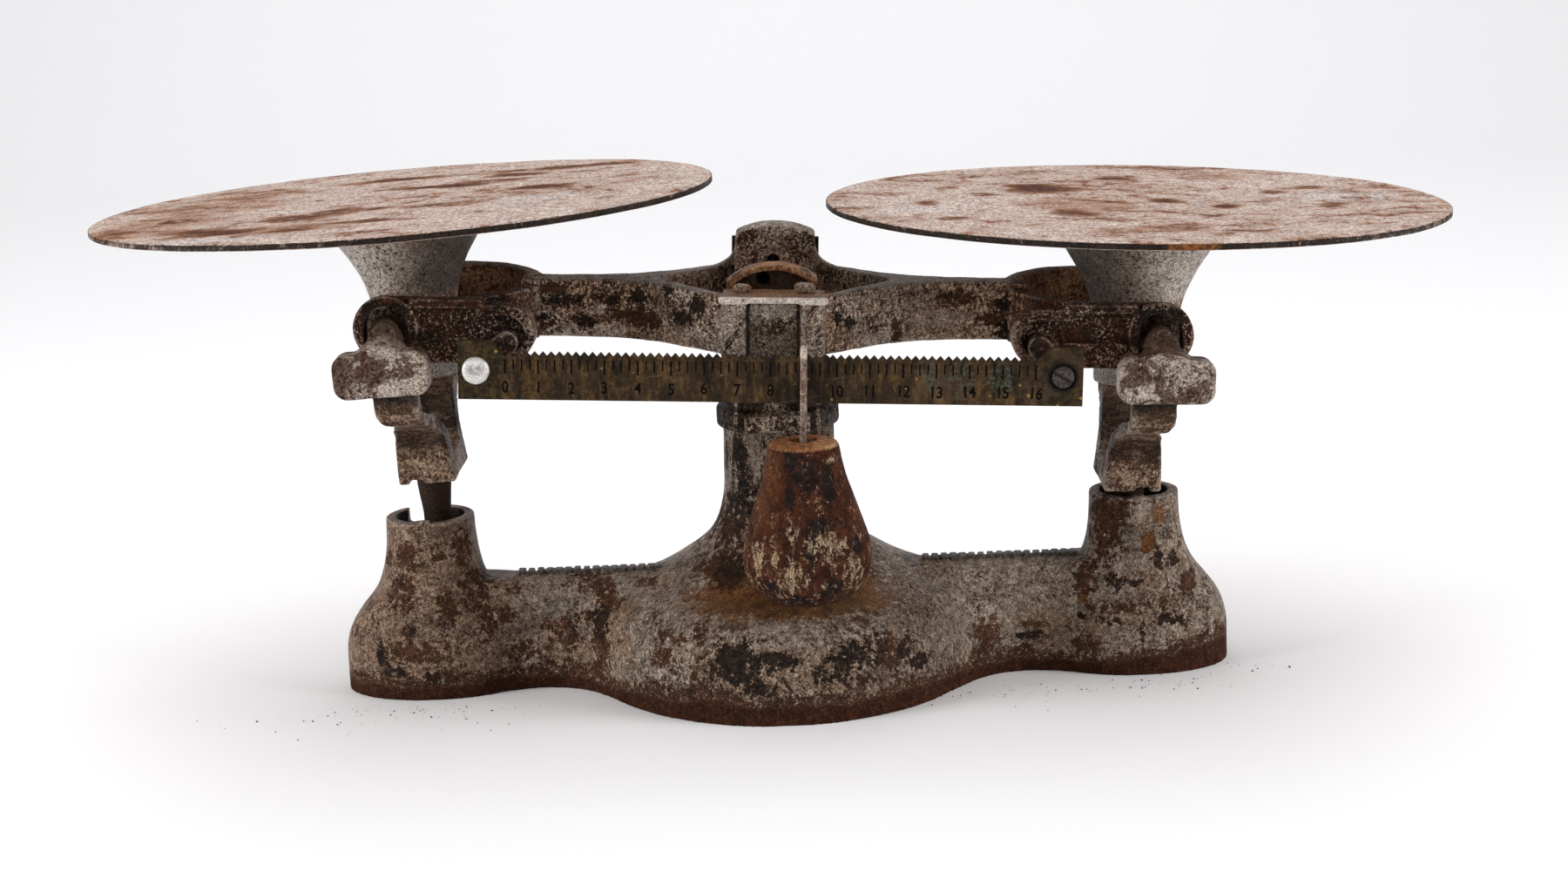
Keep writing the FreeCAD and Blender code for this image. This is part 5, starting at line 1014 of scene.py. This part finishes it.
# ------------------------------------------------------------------ floor, light, camera
fl = Mat("floor")
fl.finish((0.93, 0.925, 0.93), 0.9, spec=0.1)
bm = bmesh.new()
prof = [(-3.0, 0.0), (1.6, 0.0)]
for k in range(1, 13):
    a = math.pi / 2 * k / 12
    prof.append((1.6 + 0.9 * math.sin(a), 0.9 - 0.9 * math.cos(a)))
prof.append((2.5, 3.4))
for (y0, z0), (y1, z1) in zip(prof[:-1], prof[1:]):
    vs = [bm.verts.new((sx * 4.0, y, z)) for sx, y, z in ((-1, y0, z0), (1, y0, z0), (1, y1, z1), (-1, y1, z1))]
    bm.faces.new(vs)
bmesh.ops.remove_doubles(bm, verts=bm.verts, dist=1e-5)
rnd = random.Random(11)
for k in range(230):
    # most lie close to the base, before the two feet
    cx, cy = rnd.choice([(-0.158, -0.028), (-0.140, -0.034), (-0.120, -0.032), (0.080, -0.036), (0.105, -0.030), (0.135, -0.030), (0.160, -0.012)])
    away = abs(rnd.gauss(0.0, 0.6))
    x, y = cx + rnd.gauss(0.0, 0.016) * (1 + away), cy - abs(rnd.gauss(0.0, 0.005)) * (1 + 2.0 * away)
    d = rnd.choice([0.00011, 0.00014, 0.00014, 0.00018, 0.00018, 0.00025, 0.00034])
    n0 = len(bm.faces)
    c = bmesh.ops.create_icosphere(bm, subdivisions=1, radius=d)["verts"]
    bmesh.ops.scale(bm, verts=c, vec=(rnd.uniform(0.7, 1.5), rnd.uniform(0.7, 1.5), rnd.uniform(0.5, 1.0)))
    bmesh.ops.translate(bm, verts=c, vec=(x, y, d * 0.4))
    bm.faces.ensure_lookup_table()
    for fc in bm.faces[n0:]:
        fc.material_index = 1
me = bpy.data.meshes.new("floor")
bm.to_mesh(me)
bm.free()
for p in me.polygons:
    p.use_smooth = True
floor = bpy.data.objects.new("floor", me)
scene.collection.objects.link(floor)
me.materials.append(fl.m)
cr = Mat("crumbs")
me.materials.append(cr.finish((0.030, 0.016, 0.010), 0.9, spec=0.1))

world = bpy.data.worlds.new("world")
scene.world = world
world.use_nodes = True
bg = world.node_tree.nodes["Background"]
bg.inputs[0].default_value = (0.955, 0.955, 1.0, 1.0)
bg.inputs[1].default_value = 0.30


def area(name, loc, target, size, power, col=(1, 1, 1)):
    l = bpy.data.lights.new(name, "AREA")
    l.shape = "RECTANGLE"
    l.size, l.size_y = size
    l.energy = power
    l.color = col
    o = bpy.data.objects.new(name, l)
    scene.collection.objects.link(o)
    o.location = loc
    o.rotation_euler = (Vector(target) - Vector(loc)).to_track_quat("-Z", "Y").to_euler()
    return o


area("soft_left", (-1.15, -0.45, 0.45), (-0.05, 0, 0.09), (0.45, 0.7), 11.5)
area("soft_right", (1.20, -0.43, 0.45), (0.05, 0, 0.09), (0.45, 0.7), 11.5)
area("soft_top", (0.0, 0.12, 1.45), (0, 0, 0.1), (1.8, 1.4), 10.0)
area("soft_front", (0.0, -1.7, 0.70), (0, 0, 0.08), (1.6, 0.9), 1.5)
area("backdrop_light", (0.0, 1.2, 2.2), (0, 2.3, 0.9), (3.0, 0.8), 25.0)

pitch, yaw, roll = 0.21366267, -0.0122, -0.03924248
cp, sp, cy, sy = math.cos(pitch), math.sin(pitch), math.cos(yaw), math.sin(yaw)
fw = Vector((sy * cp, cy * cp, -sp))
rt = Vector((cy, -sy, 0.0))
up = rt.cross(fw)
r2 = math.cos(roll) * rt + math.sin(roll) * up
u2 = -math.sin(roll) * rt + math.cos(roll) * up
cam = bpy.data.cameras.new("camera")
cam.sensor_width = 36.0
cam.lens = 36.0 * 3120.387 / 1800.0
cam.clip_start, cam.clip_end = 0.05, 30.0
co = bpy.data.objects.new("camera", cam)
scene.collection.objects.link(co)
mw = Matrix(((r2.x, u2.x, -fw.x, 0.0140763), (r2.y, u2.y, -fw.y, -1.0), (r2.z, u2.z, -fw.z, 0.304557), (0, 0, 0, 1)))
co.matrix_world = mw
scene.camera = co
scene.view_settings.view_transform = "Standard"
scene.view_settings.look = "None"

bpy.context.view_layer.update()
